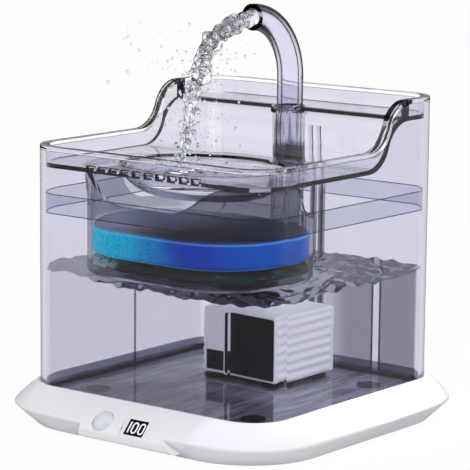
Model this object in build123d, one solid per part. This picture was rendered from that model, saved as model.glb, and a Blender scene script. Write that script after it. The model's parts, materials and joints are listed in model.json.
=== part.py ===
from build123d import *
import os
from math import atan, cos, radians, sin

# Square drinking fountain for pets, in millimetres, +Z up.
# Origin: middle of the plane that its feet stand on. The display side faces -Y.

# Base: white shell with a bowed skirt, a well for the tank and a pod for the controls
SKIRT_OUT = 17.5  # edge of the skirt, in the middle of a side, beyond the tank's wall
BASE_BOW = 4.4  # how far the middle of a side stands out past its ends
BASE_CORNER = 42.0
BASE_WALL = 2.4
SKIRT_TOP = 22.8
SKIRT_EDGE = 10.5  # underside of the skirt
SKIRT_LIP = 1.2  # upright band of the skirt's edge
SKIRT_CROWN = 0.45  # bulge of the sloping skirt
SKIRT_ROUND = 1.1  # rounding of its lip, above and below
STAND_IN = 9.0  # outline that the underside tapers to, inside the skirt's edge
STAND_CORNER = 44.0
FOOT_PROUD = 0.8
WELL_GAP = 0.5  # tank wall to well wall
WELL_RIM = 1.3  # rim round the well at the top of the skirt
DECK = 2.2  # floor plate of the well
LEDGE = 2.0  # thickness of the ledge that the floor plate is welded on
LEDGE_WIDTH = 3.0
COVER = 2.2
COVER_GAP = 0.3
FOOT_RADIUS = 6.0
FOOT_SINK = 1.0
FOOT_INSET = 24.0  # centre of a foot from the edge of the stand outline
SCREW_INSET = 38.0
SCREW_RADIUS = 1.5
SCREW_HEAD = 2.8
BOSS_WALL = 2.0

# Pods under the skirt: controls in front, socket and button behind
POD_BOTTOM = 4.0
POD_DEPTH = 17.0
POD_WALL = 1.6
POD_LEFT = -25.0
POD_RIGHT = 30.0
POD_FLARE = 10.0  # how much further right the panel reaches at its bottom
POD_FILLET = 2.0
PANEL_PROUD = 2.0  # the panel stands out past the edge of the skirt
PANEL_ROUND = 4.0
REAR_POD_HALF = 27.0

# Controls, on a plane that touches the crowned skirt
CONTROL_TILT = 47.0
CONTROL_IN = 3.0  # line where the plane touches the skirt, inside its edge
CONTROL_Z = 14.3
CONTROL_DROP = 0.6  # from where the plane touches the skirt down to the middle of the controls
SENSOR_X = -12.0
SENSOR_RADIUS = 6.3
SENSOR_DOME = 2.7
DISPLAY_X = 11.0
WINDOW_WIDTH = 13.0
WINDOW_HEIGHT = 9.7
BEZEL_MARGIN_X = 2.4
BEZEL_MARGIN_Y = 1.9
BEZEL_THICK = 0.9
BEZEL_SINK = 0.7
WINDOW_THICK = 1.4
FIT = 0.15  # gap round a small insert
SOCKET_WIDTH = 8.9
SOCKET_HEIGHT = 3.2
SOCKET_DEPTH = 7.3
REAR_CONTROL_Z = 8.0
BUTTON_X = -17.0
BUTTON_WIDTH = 9.0
BUTTON_HEIGHT = 4.0
BUTTON_TRAVEL = 0.8

# Inside the base
BATTERY = (92.0, 58.0, 6.2)
BATTERY_Y = 18.0
BOARD = (56.0, 24.0, 1.2)
BOARD_Y = -58.0

# Tank: clear box with a low front and a raised back
TANK_SIDE = 165.0
TANK_CORNER = 22.0
TANK_WALL = 3.0
TANK_FLOOR = 3.0
TANK_SEAT = 14.5  # height of its underside
TANK_EDGE = 2.0  # fillet round the floor
PAD_RADIUS = 6.6
PAD_PROUD = 0.3
PAD_SINK = 1.2
PAD_AT = (54.0, 52.0)
CORD_GUIDE_X = -3.0
CORD_GUIDE_GAP = 4.6
CORD_GUIDE_RIB = 1.2
CORD_GUIDE_PROUD = 2.8
CORD_GUIDE_DROP = 22.2  # its top below the raised rim
BAND_BOTTOM = 117.5
BAND_TOP = 128.5
BAND_THICK = 0.5
BAND_GAP = 0.15  # band to the tank's wall

# Rim: level, then an S of two equal arcs up to the raised back
RIM_LOW = 154.3
RIM_RISE = 25.9
RIM_START = 11.0  # where the S starts, along Y
RIM_RUN = 36.0

# Tray: a sheet that follows the rim, one skirt height below it
TRAY_GAP = 0.4
TRAY_WALL = 2.0
TRAY_SHEET = 2.2
TRAY_SKIRT = 11.6  # rim to the underside of the sheet
LIP = 2.0
LIP_GAP = 0.3
SLOPE_SHIFT = 0.75  # part of a short drop that the S moves back, to keep its thickness
SKIRT_SHIFT = 2.5
BOWL_Y = -26.0
BOWL_HALF_X = 50.0
BOWL_HALF_Y = 38.5
BOWL_DEPTH = 14.5
BOWL_WALL = 2.0
DRAINS = 10
DRAIN_PITCH = 8.0
DRAIN_WIDTH = 5.2
DRAIN_HEIGHT = 2.4
HANG_RIB = 1.8
HANG_DROP = 6.0
HANG_LENGTH = 40.0
HANG_GAP = 0.3

# Spout: gooseneck tube in a sleeve of the tray
SPOUT_Y = 49.0
SPOUT_RADIUS = 7.4
SPOUT_BORE = 5.0
SPOUT_BOTTOM = 98.3
SPOUT_RISE = 16.2  # start of the bend above the tray's high part
SPOUT_BEND = 35.5
SLEEVE_GAP = 0.4  # spout to sleeve
SLEEVE_WALL = 1.4
SLEEVE_DROP = 8.7  # its lower end below the tray's low part
SLEEVE_FLARE = 1.1  # the sleeve is this much thicker round the collar
COLLAR_FIT = 0.05
COLLAR_WALL = 0.8
COLLAR_LIP = 0.5  # the collar's flange beyond its seat
COLLAR_DEEP = 3.6
COLLAR_FLANGE_DEEP = 1.4
COLLAR_PROUD = 0.5

# Filter basket: rounded cup under the tray, higher at both ends
BASKET_X = 125.0
BASKET_Y = 91.0
BASKET_CORNER = 41.0
BASKET_WALL = 1.8
BASKET_AT = -31.5
BASKET_DEPTH = 57.2  # its underside below the tray's
BASKET_FLOOR = 2.0
FRONT_DIP = 16.7  # top edge below the tray in the middle of the front
REAR_DIP = 23.2
TAB_GAP = 0.5  # tab to tray
TAB_FLAT = 14.0  # half width of the low part of the edge
TAB_RUN = 42.0
REAR_START = -38.0
REAR_RUN = 30.0
EAR_PROUD = 1.2
EAR_HALF = 48.0
EAR_RISE = 10.0  # middle of the ears' oval above the low part of the edge
EAR_DROP = 19.0
BASKET_SLOT = (15.0, 3.6)
BASKET_SLOT_PITCH = (19.0, 9.0)
POUCH_HEIGHT = 8.4
SPONGE_HEIGHT = 17.0
FILL_GAP = 0.5
STACK_GAP = 0.3
MESH = 0.8

# Pump
PUMP_X = -3.5  # its middle; the rotor and the outlet are in line with the spout
PUMP_HALF = 27.5
PUMP_FRONT = 10.5
PUMP_REAR = 56.0
PUMP_BOTTOM = 19.5
PUMP_TOP = 57.5
PUMP_EDGE = 1.4
PUMP_WALL = 1.9
PUMP_STEP = 2.0  # the label's part of the front stands out from the rest
RIB_COUNT = 7
RIB_PROUD = 0.35  # height of a rib over the middle of its slope
LABEL_X = 7.9  # from the pump's middle, as the gland is
LABEL_WIDTH = 36.4
LABEL_HEIGHT = 35.0
LABEL_EDGE = 1.6  # plate to the left side of its raised part
LABEL_THICK = 0.4
GLAND_X = -19.2
GLAND_RISE = 7.4  # its middle above the pump's underside
GLAND_WIDTH = 12.8
GLAND_HEIGHT = 11.6
GLAND_DEPTH = 3.0
GLAND_WALL = 0.9  # pocket of the gland to the motor's space
CHAMBER_RADIUS = 12.5
CHAMBER_DEPTH = 9.5
WELL_RADIUS = 7.7
WELL_TUBE = 1.0
WELL_END = 19.0
MOTOR_RIGHT = 15.0  # right side of the motor's space
MOTOR_BASE = 3.9  # floor below the motor's space, with room for the cups' stems
CORE_RIGHT = 11.6
CORE_HEIGHT = 28.0
CORE_LIMB = 6.0
CORE_END = 3.4  # core to the ends of the motor's space
COIL_END = 0.8
COIL_HEIGHT = 14.0
POLE_GAP = 2.4
INTAKE_DEPTH = 4.5
INTAKE_WALL = 1.6
INTAKE_SLOTS = 11
INTAKE_PITCH = 4.4
INTAKE_SLOT = (2.2, 28.0)
PLATE_THICK = 1.2
PLATE_SIDE = 33.0
INLET_RADIUS = 5.2
HUB_RADIUS = 2.9
SPOKE = 1.6
MAGNET_RADIUS = 7.0
STEM_RADIUS = 2.2
SHAFT_RADIUS = 1.0
SHAFT_FIT = 0.05
BUSH_RADIUS = 2.2
BUSH_LENGTH = 2.2
IMPELLER_RADIUS = 10.4
IMPELLER_DISC = 1.2
BLADES = 6
BLADE_HEIGHT = 4.2
BLADE_THICK = 1.1
RISER_RADIUS = 5.8
RISER_BORE = 3.9
RISER_SINK = 5.0
RISER_BOSS = 7.6
RISER_BOSS_HIGH = 2.2
SPIGOT_GAP = 0.3  # spigot to the spout's bore
SPIGOT_LENGTH = 10.0
SEAL_THICK = 0.55
CUP_RADIUS = 8.0
CUP_STEM = 2.2
CUP_SINK = 1.5
CUP_INSET = 7.0

REACH = 300.0  # past every side of the object
BASE_SIDE = TANK_SIDE + 2 * SKIRT_OUT
STAND_SIDE = BASE_SIDE - 2 * STAND_IN
CONTROL_Y = CONTROL_IN - BASE_SIDE / 2
PUMP_MID = (PUMP_BOTTOM + PUMP_TOP) / 2
TANK_BED = TANK_SEAT + TANK_FLOOR
DECK_TOP = TANK_SEAT - PAD_PROUD
WELL_SIDE = TANK_SIDE + 2 * WELL_GAP
WELL_CORNER = TANK_CORNER + WELL_GAP
INNER_SIDE = TANK_SIDE - 2 * TANK_WALL
INNER_CORNER = TANK_CORNER - TANK_WALL
COVER_TOP = FOOT_PROUD + COVER
SHEET_LOW = RIM_LOW - TRAY_SKIRT  # underside of the tray's low part
RIM_HIGH = RIM_LOW + RIM_RISE
SHELF = RIM_HIGH - TRAY_SKIRT + TRAY_SHEET  # top of the tray's high part
SPOUT_BEND_Z = SHELF + SPOUT_RISE
SLEEVE_BORE = SPOUT_RADIUS + SLEEVE_GAP
SLEEVE_RADIUS = SLEEVE_BORE + SLEEVE_WALL
SLEEVE_BOTTOM = SHEET_LOW - SLEEVE_DROP
COLLAR_SEAT = SPOUT_RADIUS + COLLAR_WALL
COLLAR_FLANGE = COLLAR_SEAT + COLLAR_LIP
SPIGOT_RADIUS = SPOUT_BORE - SPIGOT_GAP
BASKET_BOTTOM = SHEET_LOW - BASKET_DEPTH
BASKET_MID = SHEET_LOW - FRONT_DIP
BASKET_REAR = SHEET_LOW - REAR_DIP
PUMP_LEFT = PUMP_X - PUMP_HALF
PUMP_RIGHT = PUMP_X + PUMP_HALF
STRIP_FRONT = PUMP_FRONT + PUMP_STEP  # front face beside the label's part
MOTOR_LEFT = PUMP_LEFT + PUMP_WALL
MOTOR_FRONT = STRIP_FRONT + GLAND_DEPTH + GLAND_WALL
MOTOR_REAR = SPOUT_Y - RISER_RADIUS - PUMP_WALL
CONTROL_SIDE = sin(radians(CONTROL_TILT)), cos(radians(CONTROL_TILT))


def rounded_block(width, depth, corner, bottom, top, y=0.0):
    """Upright block with rounded corners."""
    outline = Pos(0, y, bottom) * RectangleRounded(width, depth, corner)
    return extrude(outline, top - bottom)


def tube(radius, bore, bottom, top):
    """Upright tube on the Z axis."""
    outline = Circle(radius) - Circle(bore)
    return extrude(Pos(0, 0, bottom) * outline, top - bottom)


def rod(radius, front, rear):
    """Round bar along Y on the pump's axis."""
    return extrude(Plane.XZ.offset(-front) * Pos(0, PUMP_MID) * Circle(radius), front - rear)


def corners(half_x, half_y):
    """One place in each quarter."""
    return [Pos(x, y) for x in (-half_x, half_x) for y in (-half_y, half_y)]


def s_curve(start, run, rise):
    """Two equal arcs, level at both ends, from start over run and rise."""
    way = Vector(1 if run > 0 else -1, 0)
    middle = Vector(*start) + Vector(run / 2, rise / 2)
    end = Vector(*start) + Vector(run, rise)
    lower = TangentArc(Vector(*start), middle, tangent=way)
    upper = TangentArc(middle, end, tangent=lower % 1)
    return [lower, upper], end


def under_rim(back, down):
    """Everything below the rim line moved back and down."""
    start = (RIM_START + back, RIM_LOW - down)
    curve, end = s_curve(start, RIM_RUN, RIM_HIGH - RIM_LOW)
    low = Line((-REACH, start[1]), start)
    rest = Polyline(end, (REACH, end.Y), (REACH, -REACH), (-REACH, -REACH), (-REACH, start[1]))
    return extrude(Plane.YZ * make_face([low, *curve, *rest.edges()]), REACH, both=True)


def layer(top, bottom):
    """Layer between the rim line dropped by top and by bottom, kept about as thick on the S."""
    return under_rim(top * SLOPE_SHIFT, top) - under_rim(bottom * SLOPE_SHIFT, bottom)


# Base

def bowed_square(side, bow, corner, z):
    """Square with bowed sides and rounded corners, at height z."""
    half = side / 2
    end = half - bow
    arc = ThreePointArc((-end, -end), (0, -half), (end, -end))
    outline = make_face([edge for turn in range(4) for edge in (Rot(Z=90 * turn) * arc).edges()])
    return Pos(0, 0, z) * fillet(outline.vertices(), corner)


def base_form(inset=0.0):
    """Solid shape of the base, with every face moved in by inset."""
    top_side = WELL_SIDE + 2 * WELL_RIM
    top_corner = WELL_CORNER + WELL_RIM
    edge = SKIRT_EDGE + SKIRT_LIP
    slope = atan((SKIRT_TOP - edge) / ((BASE_SIDE - top_side) / 2))
    mid_side = (BASE_SIDE + top_side) / 2 + 2 * SKIRT_CROWN * sin(slope)
    mid_z = (SKIRT_TOP + edge) / 2 + SKIRT_CROWN * cos(slope)
    rim = bowed_square(BASE_SIDE - 2 * inset, BASE_BOW, BASE_CORNER - inset, SKIRT_EDGE)
    middle = bowed_square(mid_side - 2 * inset, BASE_BOW / 2, (BASE_CORNER + top_corner) / 2 - inset,
                          mid_z - inset)
    top = bowed_square(top_side - 2 * inset, BASE_BOW / 20, top_corner - inset, SKIRT_TOP - inset)
    stand = Pos(0, 0, FOOT_PROUD) * RectangleRounded(
        STAND_SIDE - 2 * inset, STAND_SIDE - 2 * inset, STAND_CORNER - inset)
    skirt = loft([Pos(0, 0, SKIRT_LIP) * rim, middle, top])
    form = loft([stand, rim]) + extrude(rim, SKIRT_LIP) + skirt
    if inset:
        return form
    lip = form.edges().filter_by_position(Axis.Z, SKIRT_EDGE - 0.01, edge + 0.01).filter_by(Plane.XY)
    return fillet(lip, SKIRT_ROUND)


def pod(left, right, inset=0.0):
    """Block under the skirt of the front, flush with its edge."""
    outline = bowed_square(BASE_SIDE - 2 * inset, BASE_BOW, BASE_CORNER - inset, POD_BOTTOM + inset)
    reach = extrude(outline, SKIRT_EDGE + SKIRT_LIP / 2 - POD_BOTTOM)
    window = Box(right - left - 2 * inset, POD_DEPTH, REACH)
    block = reach & Pos((left + right) / 2, (POD_DEPTH - BASE_SIDE) / 2 - inset) * window
    if inset == 0:
        block = fillet(block.edges().group_by(Axis.Z)[0].sort_by(Axis.Y)[0], POD_FILLET)
    return block


def control_plane(x):
    """Plane that touches the skirt, with +Z out of it and its origin in the middle of the control at x."""
    out, up = CONTROL_SIDE
    origin = (x, CONTROL_Y - CONTROL_DROP * up, CONTROL_Z - CONTROL_DROP * out)
    return Plane(origin=origin, x_dir=(1, 0, 0), z_dir=(0, -out, up))


def control_panel():
    """Face of the front pod: it runs on from the skirt in the controls' plane, then turns down."""
    out, up = CONTROL_SIDE
    front = -BASE_SIDE / 2 - PANEL_PROUD
    turn = CONTROL_Z - (CONTROL_Y - front) * out / up
    back = POD_DEPTH - BASE_SIDE / 2
    side = Polyline((CONTROL_Y, CONTROL_Z), (front, turn), (front, POD_BOTTOM), (back, POD_BOTTOM),
                    (back, CONTROL_Z), (CONTROL_Y, CONTROL_Z))
    edge = SKIRT_EDGE + SKIRT_LIP
    face = Polyline((POD_LEFT, POD_BOTTOM), (POD_RIGHT + POD_FLARE, POD_BOTTOM), (POD_RIGHT, edge),
                    (POD_RIGHT, REACH), (POD_LEFT, REACH), (POD_LEFT, POD_BOTTOM))
    panel = extrude(Plane.YZ * make_face(side.edges()), REACH, both=True)
    fronts = panel.edges().filter_by(Axis.X).sort_by(Axis.Y)[:2].sort_by(Axis.Z)
    panel = fillet(fronts[0], POD_FILLET)
    turned = panel.edges().filter_by(Axis.X).filter_by_position(Axis.Z, turn - 0.01, turn + 0.01)
    panel = fillet(turned, PANEL_ROUND)
    return panel & extrude(Plane.XZ * make_face(face.edges()), REACH, both=True)


def rear_pill(width, height, depth, x, out=0.0):
    """Pill-shaped bar into the rear pod, from out past its face."""
    face = Plane(origin=(x, BASE_SIDE / 2 + out, REAR_CONTROL_Z), x_dir=(-1, 0, 0), z_dir=(0, 1, 0))
    return extrude(face * SlotOverall(width, height), -depth)


def base_housing():
    rear_pod = Rot(Z=180) * pod(-REAR_POD_HALF, REAR_POD_HALF)
    rear_hollow = Rot(Z=180) * pod(-REAR_POD_HALF, REAR_POD_HALF, POD_WALL)
    body = base_form() + control_panel() + rear_pod
    well = rounded_block(WELL_SIDE, WELL_SIDE, WELL_CORNER, DECK_TOP - DECK, SKIRT_TOP + 1)
    mouth = WELL_SIDE - 2 * LEDGE_WIDTH
    well += rounded_block(mouth, mouth, WELL_CORNER - LEDGE_WIDTH, 0, DECK_TOP)
    side = WELL_SIDE + 2 * BASE_WALL
    well_shell = rounded_block(side, side, WELL_CORNER + BASE_WALL, DECK_TOP - DECK - LEDGE, SKIRT_TOP)
    hollow = base_form(BASE_WALL) - well_shell
    underside = STAND_SIDE - 2 * BASE_WALL
    opening = rounded_block(underside, underside, STAND_CORNER - BASE_WALL, 0, FOOT_PROUD + 0.1)
    body = body - hollow - opening - well - pod(POD_LEFT, POD_RIGHT, POD_WALL) - rear_hollow
    frame = RectangleRounded(WINDOW_WIDTH + 2 * (BEZEL_MARGIN_X + FIT),
                             WINDOW_HEIGHT + 2 * (BEZEL_MARGIN_Y + FIT), 1.6)
    hole = Rectangle(WINDOW_WIDTH + 2 * FIT, WINDOW_HEIGHT + 2 * FIT)
    display = control_plane(DISPLAY_X)
    body -= extrude(display.offset(-BEZEL_SINK - BEZEL_THICK) * frame, 6)
    body -= extrude(display.offset(-6.5) * hole, 7)
    body -= extrude(control_plane(SENSOR_X).offset(-6.5) * Circle(SENSOR_RADIUS + FIT), 12)
    body -= rear_pill(SOCKET_WIDTH, SOCKET_HEIGHT, POD_WALL + 2, 0, 1)
    body -= rear_pill(BUTTON_WIDTH + 2 * FIT, BUTTON_HEIGHT + 2 * FIT, POD_WALL + 2, BUTTON_X, 1)
    return body


def base_deck():
    """Floor plate of the well, with the posts that the bottom cover is screwed to."""
    side = WELL_SIDE - 2 * FIT
    deck = rounded_block(side, side, WELL_CORNER - FIT, DECK_TOP - DECK, DECK_TOP)
    boss_at = STAND_SIDE / 2 - SCREW_INSET
    boss = tube(SCREW_RADIUS + BOSS_WALL, SCREW_RADIUS, COVER_TOP, DECK_TOP - DECK)
    for place in corners(boss_at, boss_at):
        deck += place * boss
    return deck


def base_bottom_cover():
    side = STAND_SIDE - 2 * (BASE_WALL + COVER_GAP)
    cover = rounded_block(side, side, STAND_CORNER - BASE_WALL, FOOT_PROUD, COVER_TOP)
    foot_at = STAND_SIDE / 2 - FOOT_INSET
    screw_at = STAND_SIDE / 2 - SCREW_INSET
    for place in corners(foot_at, foot_at):
        cover -= place * Pos(0, 0, FOOT_PROUD + FOOT_SINK / 2) * Cylinder(FOOT_RADIUS, FOOT_SINK)
    for place in corners(screw_at, screw_at):
        cover -= place * screw()
    return cover


def screw():
    """Countersunk screw, head flush with the underside of the cover."""
    head = extrude(Pos(0, 0, FOOT_PROUD) * Circle(SCREW_HEAD), SCREW_HEAD - SCREW_RADIUS, taper=45)
    shank = Pos(0, 0, FOOT_PROUD) * Cylinder(SCREW_RADIUS, 9, align=(Align.CENTER, Align.CENTER, Align.MIN))
    return head + shank


def base_screws():
    at = STAND_SIDE / 2 - SCREW_INSET
    recess = extrude(Pos(0, 0, FOOT_PROUD) * Rot(Z=45) * RectangleRounded(2.2, 0.7, 0.2), 0.6)
    cross = recess + Rot(Z=90) * recess
    return [place * (screw() - cross) for place in corners(at, at)]


def rubber_feet():
    at = STAND_SIDE / 2 - FOOT_INSET
    foot = Cylinder(FOOT_RADIUS, FOOT_PROUD + FOOT_SINK, align=(Align.CENTER, Align.CENTER, Align.MIN))
    foot = fillet(foot.edges().group_by(Axis.Z)[0], 0.5)
    return [place * foot for place in corners(at, at)]


def sensor_lens():
    """Dome on a short barrel."""
    radius = (SENSOR_RADIUS ** 2 + SENSOR_DOME ** 2) / (2 * SENSOR_DOME)
    section = make_face([
        Line((0, -3.0), (SENSOR_RADIUS, -3.0)),
        Line((SENSOR_RADIUS, -3.0), (SENSOR_RADIUS, -0.4)),
        RadiusArc((SENSOR_RADIUS, -0.4), (0, SENSOR_DOME - 0.4), -radius),
        Line((0, SENSOR_DOME - 0.4), (0, -3.0)),
    ])
    return control_plane(SENSOR_X) * revolve(Plane.XZ * section, Axis.Z)


def sensor_module():
    board = Pos(0, 0, -5.2) * Box(9.6, 8.6, 1.0)
    can = Pos(0, 0, -3.9) * Cylinder(3.6, 1.6)
    return control_plane(SENSOR_X) * (board + can)


def display_bezel():
    frame = RectangleRounded(WINDOW_WIDTH + 2 * BEZEL_MARGIN_X, WINDOW_HEIGHT + 2 * BEZEL_MARGIN_Y, 1.5)
    hole = Rectangle(WINDOW_WIDTH, WINDOW_HEIGHT)
    floor = -BEZEL_SINK - BEZEL_THICK
    return control_plane(DISPLAY_X) * extrude(Pos(0, 0, floor) * (frame - hole), BEZEL_THICK)


def display_window():
    sink = BEZEL_SINK + 0.3
    return control_plane(DISPLAY_X) * Pos(0, 0, -sink - WINDOW_THICK / 2) * Box(
        WINDOW_WIDTH, WINDOW_HEIGHT, WINDOW_THICK)


def display_module():
    top = BEZEL_SINK + 0.3 + WINDOW_THICK
    block = Pos(0, 0, -top - 1.1) * Box(WINDOW_WIDTH - 0.4, WINDOW_HEIGHT - 0.4, 2.2)
    return control_plane(DISPLAY_X) * block


def control_board():
    """Board with its chip, its connector and a row of capacitors."""
    x, y, z = BOARD
    bottom = COVER_TOP + 1.4
    board = Pos(0, BOARD_Y, bottom + z / 2) * Box(x, y, z)
    chip = Pos(8, BOARD_Y, bottom + z + 0.5) * Box(8, 8, 1.0)
    plug = Pos(-18, BOARD_Y, bottom + z + 1.5) * Box(10, 6, 3.0)
    posts = [Pos(side * (x / 2 - 3), BOARD_Y, COVER_TOP + 0.7) * Cylinder(1.6, 1.4) for side in (-1, 1)]
    caps = [Pos(20, BOARD_Y - 7 + 5 * step, bottom + z + 1.2) * Cylinder(1.8, 2.4) for step in range(4)]
    return board + chip + plug + posts + caps


def battery_pack():
    x, y, z = BATTERY
    block = Pos(0, BATTERY_Y, COVER_TOP + z / 2) * Box(x, y, z)
    return fillet(block.edges().filter_by(Axis.Y), 2.4)


def charge_socket():
    """Metal socket shell with its tongue, on the rear pod's floor."""
    shell = rear_pill(SOCKET_WIDTH, SOCKET_HEIGHT, SOCKET_DEPTH, 0, -0.6)
    shell -= rear_pill(SOCKET_WIDTH - 0.7, SOCKET_HEIGHT - 0.7, SOCKET_DEPTH - 1, 0, -0.6)
    tongue = Pos(0, BASE_SIDE / 2 - 4.6, REAR_CONTROL_Z) * Box(6.2, 6.4, 0.7)
    return shell + tongue


def power_button():
    """Pill that stands just proud of the rear pod, with a flange inside."""
    cap = rear_pill(BUTTON_WIDTH, BUTTON_HEIGHT, POD_WALL + 1.4, BUTTON_X, 0.9)
    flange = rear_pill(BUTTON_WIDTH + 1.6, BUTTON_HEIGHT + 0.6, 0.9, BUTTON_X, -POD_WALL - 0.5)
    return cap + flange


# Tank

def tank():
    outer = rounded_block(TANK_SIDE, TANK_SIDE, TANK_CORNER, TANK_SEAT, REACH)
    outer = fillet(outer.edges().group_by(Axis.Z)[0], TANK_EDGE)
    inner = rounded_block(INNER_SIDE, INNER_SIDE, INNER_CORNER, TANK_BED, REACH)
    inner = fillet(inner.edges().group_by(Axis.Z)[0], TANK_EDGE)
    drop = LIP + LIP_GAP
    shell = (outer - inner) & under_rim(drop * SLOPE_SHIFT, drop)
    shell += cord_guide()
    pad = Pos(0, 0, TANK_SEAT) * Cylinder(PAD_RADIUS, 2 * PAD_SINK)
    for place in corners(*PAD_AT):
        shell -= place * pad
    return shell


def cord_guide():
    """Two upright ribs on the back wall."""
    top = RIM_HIGH - CORD_GUIDE_DROP
    rib = Box(CORD_GUIDE_RIB, CORD_GUIDE_PROUD + 1, top - TANK_BED)
    y = (INNER_SIDE + 1 - CORD_GUIDE_PROUD) / 2
    z = (top + TANK_BED) / 2
    half = (CORD_GUIDE_GAP + CORD_GUIDE_RIB) / 2
    return [Pos(CORD_GUIDE_X + side * half, y, z) * rib for side in (-1, 1)]


def tank_pads():
    height = PAD_SINK + PAD_PROUD
    pad = Pos(0, 0, TANK_SEAT + PAD_SINK - height / 2) * Cylinder(PAD_RADIUS, height)
    return [place * pad for place in corners(*PAD_AT)]


def level_band():
    """Tinted strip inside the wall, open at the ribs of the cord guide."""
    outer, corner = INNER_SIDE - 2 * BAND_GAP, INNER_CORNER - BAND_GAP
    inner = outer - 2 * BAND_THICK
    band = rounded_block(outer, outer, corner, BAND_BOTTOM, BAND_TOP)
    band -= rounded_block(inner, inner, corner - BAND_THICK, BAND_BOTTOM - 1, BAND_TOP + 1)
    gap = Box(CORD_GUIDE_GAP + 2 * CORD_GUIDE_RIB + 1, 10, REACH)
    return band - Pos(CORD_GUIDE_X, INNER_SIDE / 2, BAND_BOTTOM) * gap


# Tray

def bowl_form(grow=0.0):
    """Oval dish, with its face moved out by grow."""
    top = SHEET_LOW + TRAY_SHEET
    sizes = ((0.0, 1.0), (0.30, 0.955), (0.75, 0.80), (1.0, 0.56))  # part of the depth, part of the width
    rings = [
        Pos(0, BOWL_Y, top + 0.01 - (BOWL_DEPTH + grow) * deep)
        * Ellipse(BOWL_HALF_X * wide + grow, BOWL_HALF_Y * wide + grow)
        for deep, wide in sizes
    ]
    return loft(rings)


def hang_ribs():
    """Two ribs under the tray that the basket's tabs push over."""
    side_x = BASKET_X - 2 * (BASKET_WALL + HANG_GAP)
    side_y = BASKET_Y - 2 * (BASKET_WALL + HANG_GAP)
    corner = BASKET_CORNER - BASKET_WALL - HANG_GAP
    low, high = SHEET_LOW - HANG_DROP, SHEET_LOW + 0.5
    ring = rounded_block(side_x, side_y, corner, low, high, BASKET_AT)
    ring -= rounded_block(side_x - 2 * HANG_RIB, side_y - 2 * HANG_RIB, corner - HANG_RIB,
                          low - 1, high + 1, BASKET_AT)
    ends = [Pos(side * side_x / 2, BASKET_AT, SHEET_LOW) * Box(20, HANG_LENGTH, 30) for side in (-1, 1)]
    return ring & (ends[0] + ends[1])


def tray():
    side = INNER_SIDE - 2 * TRAY_GAP
    corner = INNER_CORNER - TRAY_GAP
    inside = side - 2 * TRAY_WALL
    block = rounded_block(side, side, corner, 0, REACH)
    well = rounded_block(inside, inside, corner - TRAY_WALL, 0, REACH)
    cap = rounded_block(TANK_SIDE, TANK_SIDE, TANK_CORNER, 0, REACH) & layer(0, LIP)
    bottom = under_rim(SKIRT_SHIFT, TRAY_SKIRT)
    sheet_top = under_rim(SKIRT_SHIFT - TRAY_SHEET * SLOPE_SHIFT, TRAY_SKIRT - TRAY_SHEET)
    body = (block & under_rim(0, 0)) - bottom + cap
    body -= well - sheet_top
    sleeve = Pos(0, SPOUT_Y) * tube(SLEEVE_RADIUS, SLEEVE_BORE, SLEEVE_BOTTOM, SHELF)
    flare_radius = SLEEVE_RADIUS + SLEEVE_FLARE
    flare = Pos(0, SPOUT_Y) * tube(flare_radius, SLEEVE_BORE, SHELF - COLLAR_DEEP - SLEEVE_FLARE, SHELF)
    body += [sleeve, flare, hang_ribs(), bowl_form(BOWL_WALL) & bottom_of_bowl()]
    body -= bowl_form()
    bore = Pos(0, SPOUT_Y, RIM_LOW) * Cylinder(SLEEVE_BORE, 60)
    body -= [bore, Pos(0, SPOUT_Y) * collar_form(FIT, 20)]
    drain = Box(DRAIN_WIDTH, 3 * TRAY_WALL, DRAIN_HEIGHT)
    for step in range(DRAINS):
        x = (step - (DRAINS - 1) / 2) * DRAIN_PITCH
        body -= Pos(x, -side / 2, SHEET_LOW + TRAY_SHEET) * drain
    return body


def bottom_of_bowl():
    """Room below the tray's floor that the bowl's wall may fill."""
    return Pos(0, 0, SHEET_LOW + TRAY_SHEET - REACH / 2) * Box(REACH, REACH, REACH)


# Spout

def spout():
    """Tube up through the sleeve and over in a quarter bend to its mouth."""
    start, bend = Vector(0, SPOUT_Y, SPOUT_BOTTOM), Vector(0, SPOUT_Y, SPOUT_BEND_Z)
    mouth = Vector(0, SPOUT_Y - SPOUT_BEND, SPOUT_BEND_Z + SPOUT_BEND)
    rise = Line(start, bend)
    path = rise + TangentArc(bend, mouth, tangent=rise % 1)
    section = Plane(origin=start, z_dir=(0, 0, 1)) * (Circle(SPOUT_RADIUS) - Circle(SPOUT_BORE))
    return sweep(section, path=path)


def collar_form(gap, proud):
    """Stepped plug with the collar's outline, grown by gap, that stands proud of the shelf."""
    bottom = SHELF - COLLAR_DEEP
    step = SHELF - COLLAR_FLANGE_DEEP
    top = SHELF + proud
    seat = Pos(0, 0, (bottom + step) / 2) * Cylinder(COLLAR_SEAT + gap, step - bottom)
    flange = Pos(0, 0, (step + top) / 2) * Cylinder(COLLAR_FLANGE + gap, top - step)
    return seat + flange


def spout_collar():
    """Soft ring that grips the spout, seated in the top of the sleeve."""
    ring = collar_form(0, COLLAR_PROUD)
    ring = fillet(ring.edges().group_by(Axis.Z)[-1], COLLAR_PROUD)
    return Pos(0, SPOUT_Y) * (ring - Pos(0, 0, SHELF) * Cylinder(SPOUT_RADIUS + COLLAR_FIT, 40))


# Filter

def basket_block(inset, bottom, top):
    """Block with the basket's outline, moved in by inset."""
    return rounded_block(BASKET_X - 2 * inset, BASKET_Y - 2 * inset, BASKET_CORNER - inset,
                         bottom, top, BASKET_AT)


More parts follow.
